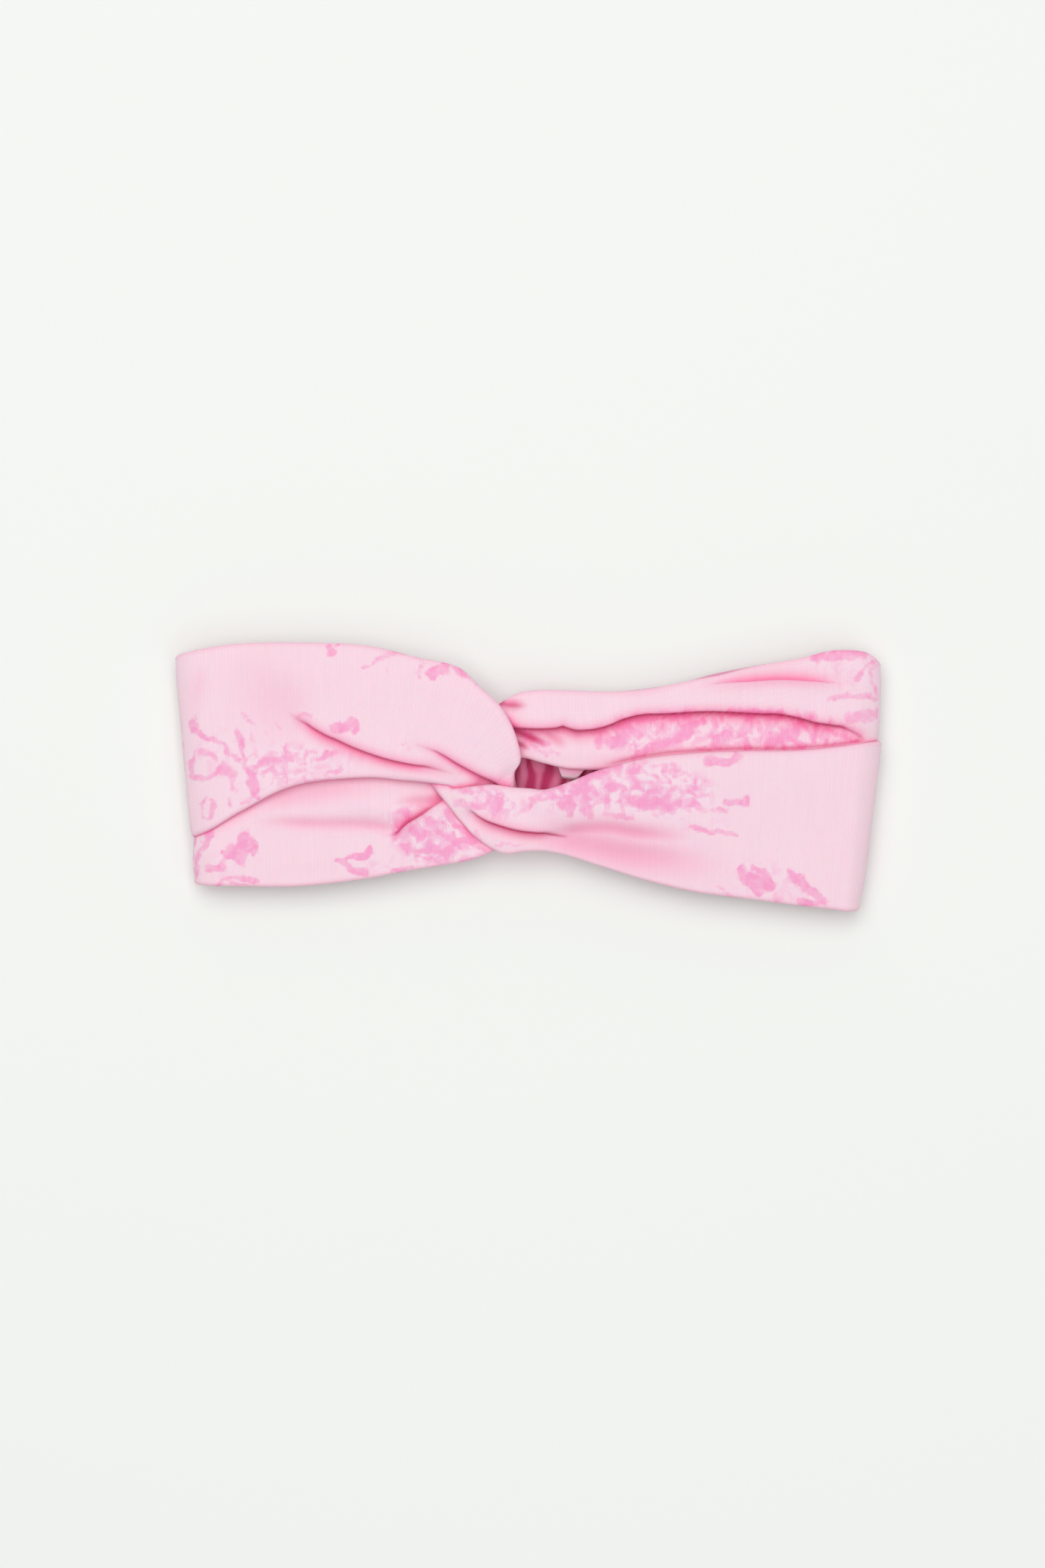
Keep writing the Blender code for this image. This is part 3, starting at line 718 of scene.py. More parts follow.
# ----------------------------------------------------------
# Right loop: the same tube from the other end. Its upper leg passes under the left loop, turns up round it in
# a tight bunch and fans out over the lower leg of the left loop and the twist.
RIGHT_STATIONS = [
    ((65.4, 24, 1.6), (65.4, 8.2, 1.6)),
    ((90, 32, 1.6), (90, 11.4, 1.6)),
    ((110, 38.2, 1.8), (111, 14.2, 1.7)),
    ((118.5, 38.6, 6.5), (117.6, 12.2, 6.3)),
    ((114.0, 42.4, 10.6), (112.4, 10.2, 10.9)),
    ((103, 42.9, 11.6), (104, 7.6, 11.2)),
    ((92, 40.3, 11.7), (94, 5.8, 11.3)),
    ((78, 38, 11.8), (80, 6, 11.3)),
    ((63.3, 35.1, 11.8), (65, 5, 11.3)),
    ((53, 32.4, 11.8), (54, 4.2, 11.3)),
    ((41, 30.2, 11.8), (42, 3, 11.3)),
    ((27.5, 29, 11.8), (27.4, 2.4, 11.3)),
    ((11, 29.5, 11.8), (14, 2.8, 11.3)),
    ((1.6, 29.4, 11.6), (5.4, 4.6, 11.3)),
    ((-5.4, 27.6, 11.3), (-2.4, 6.5, 11.3)),
    ((-14, 22, 11.3), (-10, 4.8, 11.3)),
    ((-24, 14.5, 11.3), (-18, 3.4, 11.3)),
    ((-32.6, 5.6, 11.4), (-25.5, 1.4, 11.6)),
    ((-33.2, -1.2, 12.8), (-27, -1.4, 13.0)),
    ((-31.4, -4.4, 14.6), (-26, -3.2, 14.8)),
    ((-28.4, -8.0, 14.7), (-24.6, -3.7, 16.2)),
    ((-23.6, -14.2, 14.0), (-19.5, -3.1, 16.8)),
    ((-17.2, -21, 13.4), (-12.5, -2.5, 17)),
    ((-8.6, -25.8, 12.9), (-5.5, -3.4, 17)),
    ((-1, -25.2, 13.2), (0.5, -3.8, 16.8)),
    ((6.3, -25.2, 13), (6, -4.1, 16.6)),
    ((14, -26.8, 12.6), (13.8, -1.6, 16.2)),
    ((25.8, -30.6, 12.6), (24.6, 2.6, 15.6)),
    ((41.2, -35.3, 11.9), (41, 6.6, 15.1)),
    ((57, -39, 11.7), (58, 8.3, 14.9)),
    ((72.6, -41, 11.6), (74, 8.9, 14.8)),
    ((88.3, -43.1, 11.6), (91, 9.1, 14.6)),
    ((103, -44.8, 11.6), (105, 10.4, 14.2)),
    ((108, -45.5, 11.3), (113.4, 11.6, 13.2)),
    ((111.2, -45.0, 6.5), (118.6, 12.4, 7.4)),
    ((105, -42.4, 1.8), (111, 12.4, 1.9)),
    ((88, -34.5, 1.6), (90, 10.4, 1.6)),
    ((65.4, -24, 1.6), (65.4, 7.4, 1.6)),
]
RIGHT_THICKNESS = [(0, 1.4), (1, 2.6), (15, 2.6), (18, 3.4), (20, 3.2), (23, 2.6), (36, 2.6), (37, 1.4)]
RIGHT_UPPER_LEG = (3.2, 15)
RIGHT_LOWER_LEG = (18.5, 33.8)

right = Tube(RIGHT_STATIONS, RIGHT_THICKNESS, -1, CROWN)
near_twist = np.exp(-np.linalg.norm(right.points[:, :, :2] - (-8, -4), axis=2) / 30)
ruffle(right, 0.25 + 0.2 * near_twist, 1.0, 30, 22, 11)
ruffle(right, 0.9 * near_twist * right.is_face, 0.7, 40, 4.5, 12)

upper = RIGHT_UPPER_LEG
crease(right, upper, [(114, 31.2), (97.3, 32.2), (85.1, 32.7), (76, 32.2), (58, 31.4), (48, 29.6)],
       3.0, 1.0, lap=0.1, fade=(0.35, 0.5), shade_blush=0.5)
crease(right, upper, [(-9.7, 18.4), (1.6, 17.8), (8.7, 18), (11.6, 18.7), (13.8, 18), (16.8, 17.3),
                      (22.8, 17.8), (27.5, 19.2), (32.2, 21.2), (39, 22.7), (46.1, 22.9), (61.1, 23.6),
                      (78, 22.9), (85.1, 22.7), (92.4, 21.2), (97.3, 19.7), (102, 18.5), (106.9, 16.8),
                      (111.8, 14.3), (114.5, 11.9)],
       3.6, 2.1, lap=1.4, fade=(0.0, 0.17), nip=0.72, shade_blush=0.62, crease_shade_fade=(0.0, 0.03))
crease(right, upper, [(-9.7, 24.9), (-5.5, 24.4), (0.6, 24.1)],
       1.4, 1.8, fade=(0.0, 0.6), nip=0.65, shade_blush=0.5)
crease(right, upper, [(-8, 17.6), (-3.5, 15.4), (1.5, 13.2), (7.5, 10.6)],
       1.9, 1.5, fade=(0.0, 0.45), nip=0.85, shade_blush=0.7)
crease(right, upper, [(4.6, 16.4), (8.7, 13.6), (14, 9.6)], 1.6, 1.0, fade=(0.3, 0.5), nip=0.15, shade_blush=0.5)
crease(right, upper, [(-8, 13.2), (-3, 11.2), (1.5, 9.0)], 1.4, 1.2, fade=(0.0, 0.5), nip=0.8, shade_blush=0.6)
crease(right, upper, [(15.6, 17.4), (16.4, 15.4), (17.6, 12.6)],
       1.6, 0.7, fade=(0.1, 0.6), nip=0.1, shade_blush=0.6)
crease(right, upper, [(24.1, 3.2), (27.5, 4.4), (36.8, 6.7), (41.5, 7.5), (48.6, 8.5), (61.1, 9.2),
                      (73.1, 9.7), (87.5, 9.7), (99.8, 10.7), (106.9, 11.5), (115, 12.6)],
       0.8, 0.4, fade=(0.1, 0.04), nip=0.42, shade_blush=0.15)

lower = RIGHT_LOWER_LEG
crease(right, lower, [(-23.5, -9.4), (-20.2, -11.1), (-13.6, -13.6), (-6.3, -16), (1.3, -17.8), (6.7, -19),
                      (11.5, -19.8), (15, -20.3)],
       3.0, 2.0, lap=1.3, fade=(0.3, 0.5), nip=0.9, shade_blush=0.5, crease_shade_fade=(0.35, 0.14))
crease(right, lower, [(-3, -17.2), (8, -19.8), (21.9, -23.1), (33.6, -25.5), (49.1, -28.2), (75, -32.4)],
       4.4, 1.5, fade=(0.25, 0.55), shade_blush=0.62)
crease(right, lower, [(3, -18.8), (12, -18.2), (25.8, -17.1), (37.4, -18.7), (60, -21)],
       2.4, 1.0, fade=(0.25, 0.45), nip=0.08, shade_blush=0.65)
crease(right, lower, [(-20, -8), (-4, -10), (14, -9), (34, -6)], 4.5, -0.9, fade=(0.3, 0.6))

soften(right)

RIGHT_UPPER_PRINT = [
    (1, 0.7, [(-4, 16.8), (0.1, 13.7), (6.2, 10.9)]),
    (0.8, 0.5, [(-0.9, 11.9), (5.2, 7.9), (10.2, 7.9)]),
    (1.7, 0.75, [(23.9, 11.7), (30.5, 11.9), (31.8, 17), (36.6, 14.8)]),
    (1.2, 0.55, [(31.6, 18), (38.7, 19), (46.8, 19.8), (54.9, 21.1)]),
    (1.4, 0.8, [(36.6, 6.6), (42.7, 10.7), (49.8, 12.7), (54.9, 15)]),
    (1.3, 0.75, [(53.9, 17), (59.2, 18.8)]),
    (1.9, 0.85, [(64, 13.4), (64.6, 11.4)]),
    (1.3, 0.85, [(73.2, 11.9), (74.2, 9.9)]),
    (1.3, 0.75, [(68.1, 21.9), (77.2, 22.1), (85.6, 21.1)]),
    (2, 0.85, [(82.3, 11.9), (87.4, 14)]),
    (0.9, 0.65, [(90.6, 20.9), (94.5, 16), (97.5, 11.9)]),
    (1.1, 0.65, [(85.4, 16.8), (92.5, 10.7)]),
    (0.8, 0.6, [(97.5, 16.8), (105.7, 14), (110.9, 11.9)]),
    (0.9, 0.6, [(78.3, 18), (80.3, 14)]),
    (0.8, 0.5, [(67.1, 18), (70.1, 15)]),
    (0.9, 0.6, [(56.9, 9.9), (61, 9.4)]),
    (0.9, 0.5, [(42.7, 15), (46.8, 16)]),
    (0.8, 0.5, [(101.6, 10.9), (107.7, 11.9)]),
    (1.7, 0.75, [(97.5, 40.7), (105.7, 41.4), (112.8, 41.9)]),
    (0.8, 0.65, [(116, 39.3), (112, 35.3), (110.7, 33)]),
    (0.8, 0.55, [(118.1, 39.3), (116, 35.3), (117.8, 28.2)]),
    (0.9, 0.55, [(101.6, 26.9), (107.7, 27.7), (115.8, 27.2), (119.1, 26.5)]),
    (1.9, 0.65, [(108.7, 19.8), (113.8, 20.9), (117.8, 21.1)]),
]
RIGHT_LOWER_PRINT = [
    (1.3, 0.6, [(-23.8, -8.4), (-19.2, -9.9), (-10.6, -10.6), (-9.1, -8.4), (-13.6, -5.3)]),
    (0.8, 0.45, [(-5, -13), (2.9, -7.6), (8.7, -7.4)]),
    (1.1, 0.6, [(0.6, -8.7), (2.3, -6.4)]),
    (0.8, 0.5, [(-18.2, -18.5), (-15.6, -23.6)]),
    (0.7, 0.5, [(-11.3, -22.8), (-3, -22.6)]),
    (0.8, 0.45, [(-22.2, -4.3), (-18.2, -5.5), (-14.1, -4.3)]),
    (1.7, 0.7, [(16.3, -3.5), (22.4, 1.3), (30.5, 3.6)]),
    (1.3, 0.75, [(13.3, -6.6), (14.5, -12.4)]),
    (1.3, 0.75, [(18.4, -8.6), (21.2, -13.5)]),
    (2, 0.85, [(36.6, -7.6), (41.2, -9.4), (46, -8.4)]),
    (0.9, 0.65, [(25.5, -12.6), (34.6, -13.7)]),
    (0.9, 0.55, [(40.7, -4.5), (48.8, -4.3)]),
    (0.8, 0.55, [(34.6, -0.5), (42.9, -2.3)]),
    (0.9, 0.6, [(26.5, -2.3), (32.6, -4.3)]),
    (0.8, 0.55, [(22.4, -5.8), (27.5, -7.4)]),
    (0.8, 0.6, [(30.5, -8.4), (31.6, -12.4)]),
    (0.8, 0.5, [(42.7, 3.8), (49.8, 4)]),
    (0.8, 0.5, [(36.6, 6.3), (40.7, 4.8)]),
    (0.7, 0.4, [(48.8, -0.3), (52.9, 1.8)]),
    (0.8, 0.55, [(55.9, -8.6), (59, -11.4), (67.1, -11.4)]),
    (1.2, 0.85, [(67.1, -8.7), (73.2, -8.4)]),
    (0.8, 0.65, [(54.9, -16.7), (63, -18.5), (70.1, -19.5)]),
    (0.7, 0.4, [(52.9, -4.3), (56.9, -5.8)]),
    (1.4, 0.7, [(60, 5.6), (67.1, 4.6), (71.2, 6.8)]),
    (1.8, 0.9, [(72.2, -31.9), (76.2, -35), (82.3, -36.8)]),
    (1.4, 0.8, [(73.2, -33.8), (78.3, -39.3)]),
    (1, 0.7, [(75.7, -30.7), (80.3, -32.9)]),
    (1.5, 0.85, [(88.9, -32.9), (93.7, -36.8), (96.7, -39), (99.8, -41.9)]),
    (1.2, 0.85, [(91.5, -41.9), (97.5, -43.1)]),
    (0.8, 0.45, [(64, -37), (68.1, -41.1)]),
    (0.8, 0.5, [(83.8, -41.9), (85.9, -41.4)]),
]
paint(right, upper, RIGHT_UPPER_PRINT)
paint(right, lower, RIGHT_LOWER_PRINT)
flower_bed(right, upper, [((45, 16), (24, 7), 5, 0.8), ((82, 16), (26, 7), -3, 1.0),
                          ((108, 36), (13, 9), 0, 0.35)])
flower_bed(right, lower, [((24, -3), (22, 8), 8, 1.0), ((44, -5), (18, 9), 0, 0.85),
                          ((-12, -8), (14, 6), -20, 0.6), ((82, -36), (16, 8), -12, 0.4),
                          ((55, -14), (16, 6), -8, 0.3)])
scatter_print(right, 8)

# Beside the twist the back of the tube hangs out a little under the edge of its front.
FLAP_DROP = 4.6
FLAP_ENDS = (9.4, 20.6)  # along X
FLAP_STATIONS = (10, 14.5)
FLAP_DEPTH = 7.5  # from the edge of the tube
flap_x = right.points[:, :, 0]
flap = smooth((flap_x - FLAP_ENDS[0]) / 2.2) * smooth((FLAP_ENDS[1] - flap_x) / 5)
flap *= (right.spot > FLAP_STATIONS[0]) & (right.spot < FLAP_STATIONS[1])
flap *= ~right.is_face & (right.across < 0)[None, :]
flap *= smooth(right.from_edge) * smooth((FLAP_DEPTH - right.from_edge) / 4)
right.points[:, :, 1] -= FLAP_DROP * flap
# The hanging flap is given less of the painted shade of a rolled edge.
right.shade_blush *= 1 - 0.8 * flap

SKIN = 0.12  # mm off the cloth where its rays start
GOLDEN_TURN = 2.39996  # spreads the rays evenly round the normal
TUCK_SHADE_GAIN = 1.8


def average(grid, rounds):
    """Evens out a grid of values with those round each."""
    rows, columns = grid.shape
    for _ in range(rounds):
        padded = np.pad(grid, 1, mode="edge")
        grid = sum(padded[a : a + rows, b : b + columns] for a in range(3) for b in range(3)) / 9
    return grid


def shade_tucks(tubes, reach=8.0, rays=16):
    """How far each point of the front is tucked in among the cloth round it, from 0 to 1, found by casting
    rays.
    This is painted into the colour as shade: jersey lets light through, so its pink deepens where little
    light reaches."""
    points, faces, start = [], [], 0
    for tube in tubes:
        rings, around = tube.ink.shape
        points.append(tube.points.reshape(-1, 3))
        i, j = np.meshgrid(np.arange(rings - 1), np.arange(around), indexing="ij")
        k = (j + 1) % around
        quads = np.stack([i * around + j, (i + 1) * around + j, (i + 1) * around + k, i * around + k], axis=2)
        faces.append(quads.reshape(-1, 4) + start)
        start += rings * around
    tree = BVHTree.FromPolygons(np.concatenate(points).tolist(), np.concatenate(faces).tolist())
    turn = np.random.default_rng(3)
    number = np.arange(rays)
    height = np.sqrt(1 - (number + 0.5) / rays)
    flat = np.sqrt((number + 0.5) / rays)
    for tube in tubes:
        outward = np.cross(np.gradient(tube.points, axis=0), np.gradient(tube.points, axis=1))
        outward /= np.maximum(np.linalg.norm(outward, axis=2), 1e-9)[:, :, None]
        outward *= np.sign(np.sum(outward[:, :TOP_POINTS] * tube.normal[:, :TOP_POINTS]))
        front = tube.is_face[None, :] & (tube.points[:, :, 2] > FRONT_FROM - 1)
        for i, j in np.argwhere(front):
            normal = Vector(outward[i, j])
            side = normal.orthogonal().normalized()
            other = normal.cross(side)
            origin = Vector(tube.points[i, j]) + normal * SKIN
            spin = turn.random() * FULL_TURN
            lost = 0.0
            for n in number:
                angle = spin + GOLDEN_TURN * n
                ray = normal * height[n] + (side * math.cos(angle) + other * math.sin(angle)) * flat[n]
                hit = tree.ray_cast(origin, ray, reach)[3]
                if hit is not None:
                    lost += 1 - hit / reach
            tube.tuck[i, j] = lost / rays
        # Painted shade: the tucks, with the painted blush of rolled edges and creases added.
        tube.tuck = np.clip(average(tube.tuck, 3) * TUCK_SHADE_GAIN + tube.shade_blush, 0, 1)


def stand_for(piece, node):
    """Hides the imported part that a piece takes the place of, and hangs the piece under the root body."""
    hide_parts(node)
    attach(piece, "root")


shade_tucks([left, right])
for tube, node in ((left, "left_loop"), (right, "right_loop")):
    loop = sew_up(tube, node + "_cloth", jersey)
    stand_for(loop, node)

# ----------------------------------------------------------
# Back casing: a flat tube of the same jersey behind the head, cut about a third longer than it looks. Two
# rows of stitches gather it on to the elastic inside, and both loops are sewn into its open ends.
CASING_STATIONS = [((x, 24, 1.9), (x, -24, 1.9)) for x in (-67.4, -40, -13, 13, 40, 67.4)]
CASING_THICKNESS = [(0, 3.0), (5, 3.0)]
CHANNEL_Y = 0.012  # the two gathering rows, in metres
TAKE_UP = 1.35  # length of cloth gathered into a unit of casing
GATHER_SPACING = 0.0058
GATHER_DEPTH = 0.0012
SHADED_LENGTH = 0.03  # each way from the middle of the casing, behind the twist
ROW_PULL = 0.0022  # how far each side of a row its stitches hold the cloth down
CASING_LOWEST = 0.00006


def grow(name, tree, values, base=None):
    """Runs a tree, with these values at its named inputs, and keeps the result as a plain piece."""
    carrier = put_in_scene(name + "_base", base or bpy.data.meshes.new(name + "_base"))
    modifier = carrier.modifiers.new("growth", "NODES")
    modifier.node_group = tree
    for item in tree.interface.items_tree:
        if item.item_type == "SOCKET" and item.in_out == "INPUT" and item.name in values:
            modifier[item.identifier] = values[item.name]
    graph = bpy.context.evaluated_depsgraph_get()
    grown = carrier.evaluated_get(graph)
    mesh = bpy.data.meshes.new_from_object(grown, preserve_all_data_layers=True, depsgraph=graph)
    mesh.name = name
    bpy.data.objects.remove(carrier)
    return put_in_scene(name, mesh)


def end_tree(geometry, material, out):
    """Ends a tree in Realize Instances and Set Material."""
    real = read(geometry.tree, "GeometryNodeRealizeInstances", {0: geometry})
    fill(out, {0: read(geometry.tree, "GeometryNodeSetMaterial", {"Geometry": real, "Material": material})})


def build_gathers():
    """Draws a flat tube up into gathers that run across it, held down along two rows of stitches. Painted
    shade darkens the inner face in the gathers behind the twist, where little light reaches."""
    inputs = {
        "Geometry": ("Geometry", None),
        "Row": ("Float", CHANNEL_Y),
        "Spacing": ("Float", GATHER_SPACING),
        "Depth": ("Float", GATHER_DEPTH),
        "Ruffle": ("Float", GATHER_DEPTH),
        "Lowest": ("Float", CASING_LOWEST),
        "Shaded": ("Float", SHADED_LENGTH),
        "Seed": ("Float", 0),
        "Cloth": ("Material", None),
    }
    tree, given, out = new_tree("GeometryNodeTree", "gathers", inputs, {"Geometry": "Geometry"})
    row, depth, shaded = given["Row"], given["Depth"], given["Shaded"]
    x, y, z = read(tree, "GeometryNodeInputPosition").parts()
    up = read(tree, "GeometryNodeInputNormal").parts()[2]
    from_middle = abs(y)
    # The rows cut the casing into three lengths, and the gathers of each fall in their own way.
    variety = ((y + row) / (row * 2)).math("FLOOR") * 9.7 + given["Seed"]
    turns = x / given["Spacing"]

    def wander(along, across, offset):
        place = {0: turns * along, 1: y / across, 2: variety + offset}
        return read(tree, "ShaderNodeCombineXYZ", place).noise(1, 1)

    ridge = ((turns + wander(0.35, 0.02, 0) * 3.2) * FULL_TURN).sine() * 0.5 + 0.5
    swell = wander(0.5, 0.012, 40).step(0.35, 0.65) + 0.45
    to_row = (from_middle - row) / ROW_PULL
    held = (to_row * to_row * -1).math("EXPONENT")
    height = depth * (ridge * swell) * (1 - held * 0.8)
    new_z = (z + (height + depth * held * -0.35) * up).math("MAXIMUM", given["Lowest"])
    frill = given["Ruffle"] * (ridge - 0.5) * from_middle.step(0.014, 0.024)
    place = read(tree, "ShaderNodeCombineXYZ", {0: x, 1: y + frill * y.math("SIGN"), 2: new_z})
    geometry = read(tree, "GeometryNodeSetPosition", {"Geometry": given["Geometry"], "Position": place})
    # Painted shade: the inner face behind the twist gets a deeper pink, darkest in the gaps between gathers.
    inner = up.step(0.1, 0.5) * abs(x).step(shaded * 1.3, shaded) * from_middle.step(0.013, 0.008)
    gap = 1 - (ridge * swell).step(0.1, 0.6)
    for name, value in (("tuck", inner * 0.95), ("nip", inner * (gap * 0.7 + 0.28))):
        kept = {"Geometry": geometry, "Name": name, "Value": value}
        geometry = read(tree, "GeometryNodeStoreNamedAttribute", kept, data_type="FLOAT", domain="POINT")
    end_tree(geometry, given["Cloth"], out)
    return tree


casing_tube = Tube(CASING_STATIONS, CASING_THICKNESS)
casing_tube.cloth[:, :, 0] *= TAKE_UP
scatter_print(casing_tube, 21)
flat_casing = sew_up(casing_tube, "flat_casing", jersey)
casing = grow("back_casing_cloth", build_gathers(), {"Seed": 3.0, "Cloth": jersey}, flat_casing.data)
bpy.data.objects.remove(flat_casing)
stand_for(casing, "back_casing")

# ----------------------------------------------------------
# Elastic: a flat woven band inside the casing, cream polyester over rubber cords that run along it. It is
# hidden by the casing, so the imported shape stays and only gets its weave.
CORD_SPACING = 0.0014
WEFT_SPACING = 0.0008

elastic_weave, shader = new_material("woven_elastic_band", {"Roughness": 0.7})
along, across, _ = read(shader.id_data, "ShaderNodeTexCoord", None, "Object").parts()
cords = abs((across * (math.pi / CORD_SPACING)).sine())
weft = abs((along * (math.pi / WEFT_SPACING)).sine())
weave = cords * 0.7 + weft * 0.3
fill(shader, {"Base Color": weave.blend((0.62, 0.58, 0.54), (0.86, 0.84, 0.80))})
emboss(shader, weave, 0.5, 0.0003)
for slot in bpy.data.objects["elastic_band"].material_slots:
    slot.material = elastic_weave

# ----------------------------------------------------------
# Care label: a blank tape of white polyester satin, woven with fine slanting ribs. It lies on the gathers of
# the casing, and a short row of stitches holds down each end.
LABEL_THICKNESS = 0.34  # mm, as are the next three
LABEL_LIFT = 0.1
LABEL_WAVE = 0.12
LABEL_DIPS = [(0, 0.15), (0.08, 0.2), (0.3, 0), (0.5, -0.1), (0.7, 0), (0.92, 0.2), (1, 0.15)]  # share, dip


def slanting_threads(shader, scale, distortion, texture):
    """Fine threads that slant across a piece."""
    inputs = {"Vector": texture, "Scale": scale, "Distortion": distortion}
    banded = {"wave_type": "BANDS", "bands_direction": "DIAGONAL"}
    return read(shader.id_data, "ShaderNodeTexWave", inputs, "Fac", **banded)


label_low, label_high = (Vector(corner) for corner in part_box("care_label"))
low, high = label_low / MM, label_high / MM
label_z = (low.z + high.z) / 2 + LABEL_LIFT
label_stations = []
for share, dip in LABEL_DIPS:
    x = low.x + share * (high.x - low.x)
    label_stations.append(((x, high.y, label_z - dip), (x, low.y, label_z - dip)))
label_tube = Tube(label_stations, [(0, LABEL_THICKNESS), (len(LABEL_DIPS) - 1, LABEL_THICKNESS)])
ruffle(label_tube, np.ones(label_tube.ink.shape), LABEL_WAVE, 7, 30, 61)

satin, shader = new_material("label_satin_tape", {"Sheen Weight": 0.1})
ribs = slanting_threads(shader, 900, 0.6, read(shader.id_data, "ShaderNodeUVMap", uv_map="cloth"))
fill(shader, {"Base Color": ribs.blend((0.86, 0.84, 0.82), (0.95, 0.94, 0.925))})
fill(shader, {"Roughness": ribs * 0.12 + 0.3})
emboss(shader, ribs, 0.2, 0.00005)
label = sew_up(label_tube, "care_label_tape", satin)
stand_for(label, "care_label")

# ----------------------------------------------------------
# Stitching: pink polyester thread. A zigzag seam joins the casing to each loop, two rows of short stitches
# gather the casing on to the elastic, and a short row holds each end of the label.
THREAD = 0.0005
SEAM_X, SEAM_END = 0.065, 0.0223
CHANNEL_END = 0.0607
LABEL_MARGIN, LABEL_CORNER = 0.002, 0.001  # of its rows, from its ends and its sides
ROW_HEIGHT = 0.01  # from where a row is laid down on the cloth
SEAM_STITCH, SEAM_BITE = 0.0026, 0.0023
CHANNEL_STITCH, CHANNEL_BITE = 0.0030, 0.0004
LABEL_STITCH, LABEL_BITE = 0.0018, 0.0002
CUTS = 8  # points in a stitch


def build_stitches():
    """One thread along a row of stitches. It swings from side to side by Bite, goes down into the cloth once
    a stitch, and lies on the piece given as Cloth."""
    inputs = {
        "Geometry": ("Geometry", None),
        "Cloth": ("Object", None),
        "Start": ("Vector", None),
        "End": ("Vector", None),
        "Stitch": ("Float", SEAM_STITCH),
        "Bite": ("Float", SEAM_BITE),
        "Thread": ("Float", THREAD),
        "Finish": ("Material", None),
    }
    tree, given, out = new_tree("GeometryNodeTree", "stitches", inputs, {"Geometry": "Geometry"})
    start, end, thread = given["Start"], given["End"], given["Thread"]
    vectors = {"kind": "ShaderNodeVectorMath"}
    line = read(tree, "GeometryNodeCurvePrimitiveLine", {"Start": start, "End": end})
    cuts = {"Curve": line, "Length": given["Stitch"] / CUTS}
    cut = read(tree, "GeometryNodeResampleCurve", cuts, mode="LENGTH")
    stitch = read(tree, "GeometryNodeInputIndex") / CUTS
    swing = (stitch.math("PINGPONG", 1) * 2 - 1) * given["Bite"]
    across = end.math("SUBTRACT", start, **vectors).math("CROSS_PRODUCT", (0, 0, 1), **vectors)
    shift = across.math("NORMALIZE", **vectors).math("MULTIPLY", swing, **vectors)
    fall = {
        "Target Geometry": read(tree, "GeometryNodeObjectInfo", {0: given["Cloth"]}, "Geometry"),
        "Source Position": read(tree, "GeometryNodeInputPosition").math("ADD", shift, **vectors),
        "Ray Direction": (0, 0, -1),
        "Ray Length": 2 * ROW_HEIGHT,
    }
    landed = read(tree, "GeometryNodeRaycast", fall, "Hit Position")
    dip = (stitch * FULL_TURN).math("COSINE")
    lift = read(tree, "ShaderNodeCombineXYZ", {2: thread * (-0.1 - dip * 0.6)})
    laid = read(tree, "GeometryNodeSetPosition", {"Geometry": cut, "Position": landed, "Offset": lift})
    ring = read(tree, "GeometryNodeCurvePrimitiveCircle", {"Resolution": 6, "Radius": thread / 2})
    tube = read(tree, "GeometryNodeCurveToMesh", {"Curve": laid, "Profile Curve": ring, "Fill Caps": True})
    end_tree(read(tree, "GeometryNodeSetShadeSmooth", {"Geometry": tube}), given["Finish"], out)
    return tree


thread_finish, shader = new_material("sewing_thread_pink", {"Roughness": 0.5, "Sheen Weight": 0.15})
ply = slanting_threads(shader, 700, 0.4, read(shader.id_data, "ShaderNodeTexCoord", None, "Object"))
fill(shader, {"Base Color": ply.blend((0.72, 0.33, 0.47), (0.92, 0.55, 0.68))})
emboss(shader, ply, 0.4, 0.00008)

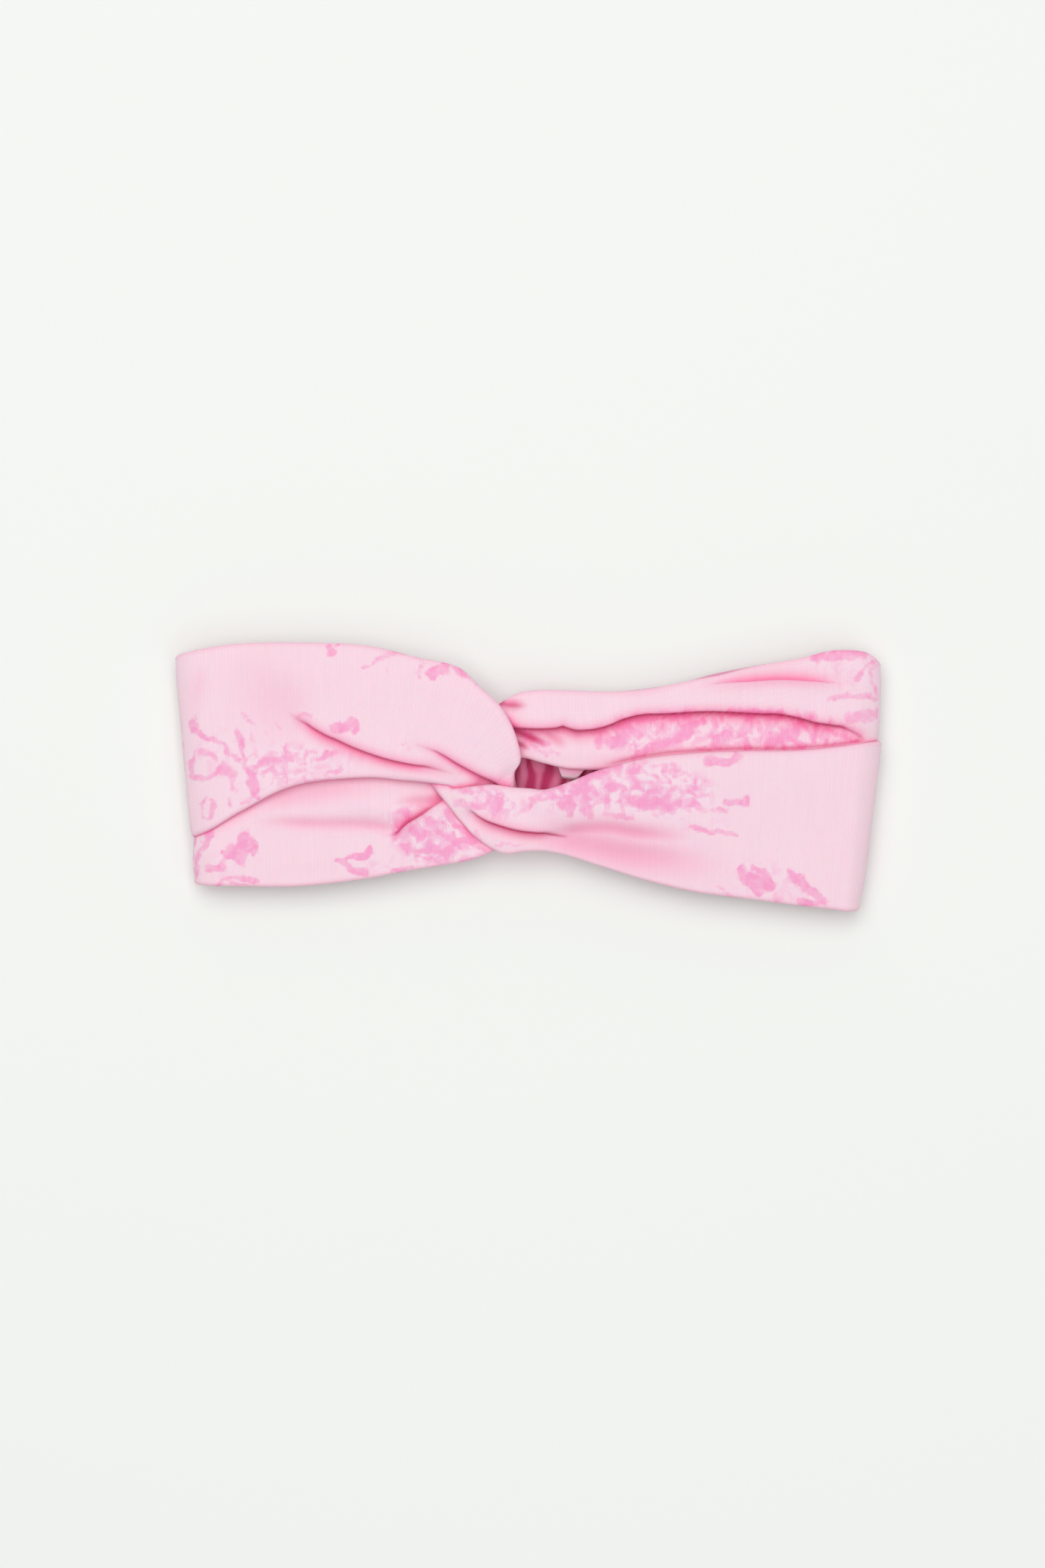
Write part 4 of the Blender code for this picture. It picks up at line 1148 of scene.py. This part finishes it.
stitches_tree = build_stitches()
ROWS = []  # node, the cloth under it, the two ends of the row, its stitch and its bite
for side, x in (("left", -SEAM_X), ("right", SEAM_X)):
    ROWS.append((side + "_join_thread", casing, (x, -SEAM_END), (x, SEAM_END), SEAM_STITCH, SEAM_BITE))
for side, y in (("upper", CHANNEL_Y), ("lower", -CHANNEL_Y)):
    ends = (-CHANNEL_END, y), (CHANNEL_END, y)
    ROWS.append((side + "_channel_thread", casing, *ends, CHANNEL_STITCH, CHANNEL_BITE))
for side, x in (("left", label_low.x + LABEL_MARGIN), ("right", label_high.x - LABEL_MARGIN)):
    ends = (x, label_low.y + LABEL_CORNER), (x, label_high.y - LABEL_CORNER)
    ROWS.append(("label_thread_" + side, label, *ends, LABEL_STITCH, LABEL_BITE))
for node, cloth, start, end, stitch, bite in ROWS:
    ends = {"Start": (*start, ROW_HEIGHT), "End": (*end, ROW_HEIGHT)}
    sizes = {"Stitch": stitch, "Bite": bite, "Thread": THREAD}
    row = grow(node + "_stitches", stitches_tree, {"Cloth": cloth, "Finish": thread_finish, **ends, **sizes})
    stand_for(row, node)

# ----------------------------------------------------------
# Floor and light: a pale studio floor under one large soft light from above and a weaker one from the front.
FLOOR_COLOUR = (0.90, 0.925, 0.895)
FLOOR_HALF_SIZE = 2.0
ROOM_LIGHT = 0.40

bm = bmesh.new()
bmesh.ops.create_grid(bm, x_segments=1, y_segments=1, size=FLOOR_HALF_SIZE)
floor_mesh = bpy.data.meshes.new("floor")
bm.to_mesh(floor_mesh)
bm.free()
floor_finish = {"Base Color": FLOOR_COLOUR, "Roughness": 0.9, "Specular IOR Level": 0.1}
floor_mesh.materials.append(new_material("floor_paint", floor_finish)[0])
put_in_scene("floor", floor_mesh)


def soft_light(name, place, size, power, colour):
    """A square area light that looks at the middle of the band."""
    data = bpy.data.lights.new(name, "AREA")
    data.size = size
    data.energy = power
    data.color = colour
    lamp = put_in_scene(name, data)
    lamp.location = place
    lamp.rotation_euler = (-Vector(place)).to_track_quat("-Z", "Y").to_euler()


soft_light("key", (-0.25, 0.55, 2.2), 2.2, 36, (1, 0.99, 0.985))
soft_light("fill", (0.7, -0.7, 1.6), 1.4, 4, (0.98, 0.985, 1))
scene.world = bpy.data.worlds.new("studio")
scene.world.use_nodes = True
fill(scene.world.node_tree.nodes["Background"], {"Color": (1, 0.997, 0.99), "Strength": ROOM_LIGHT})
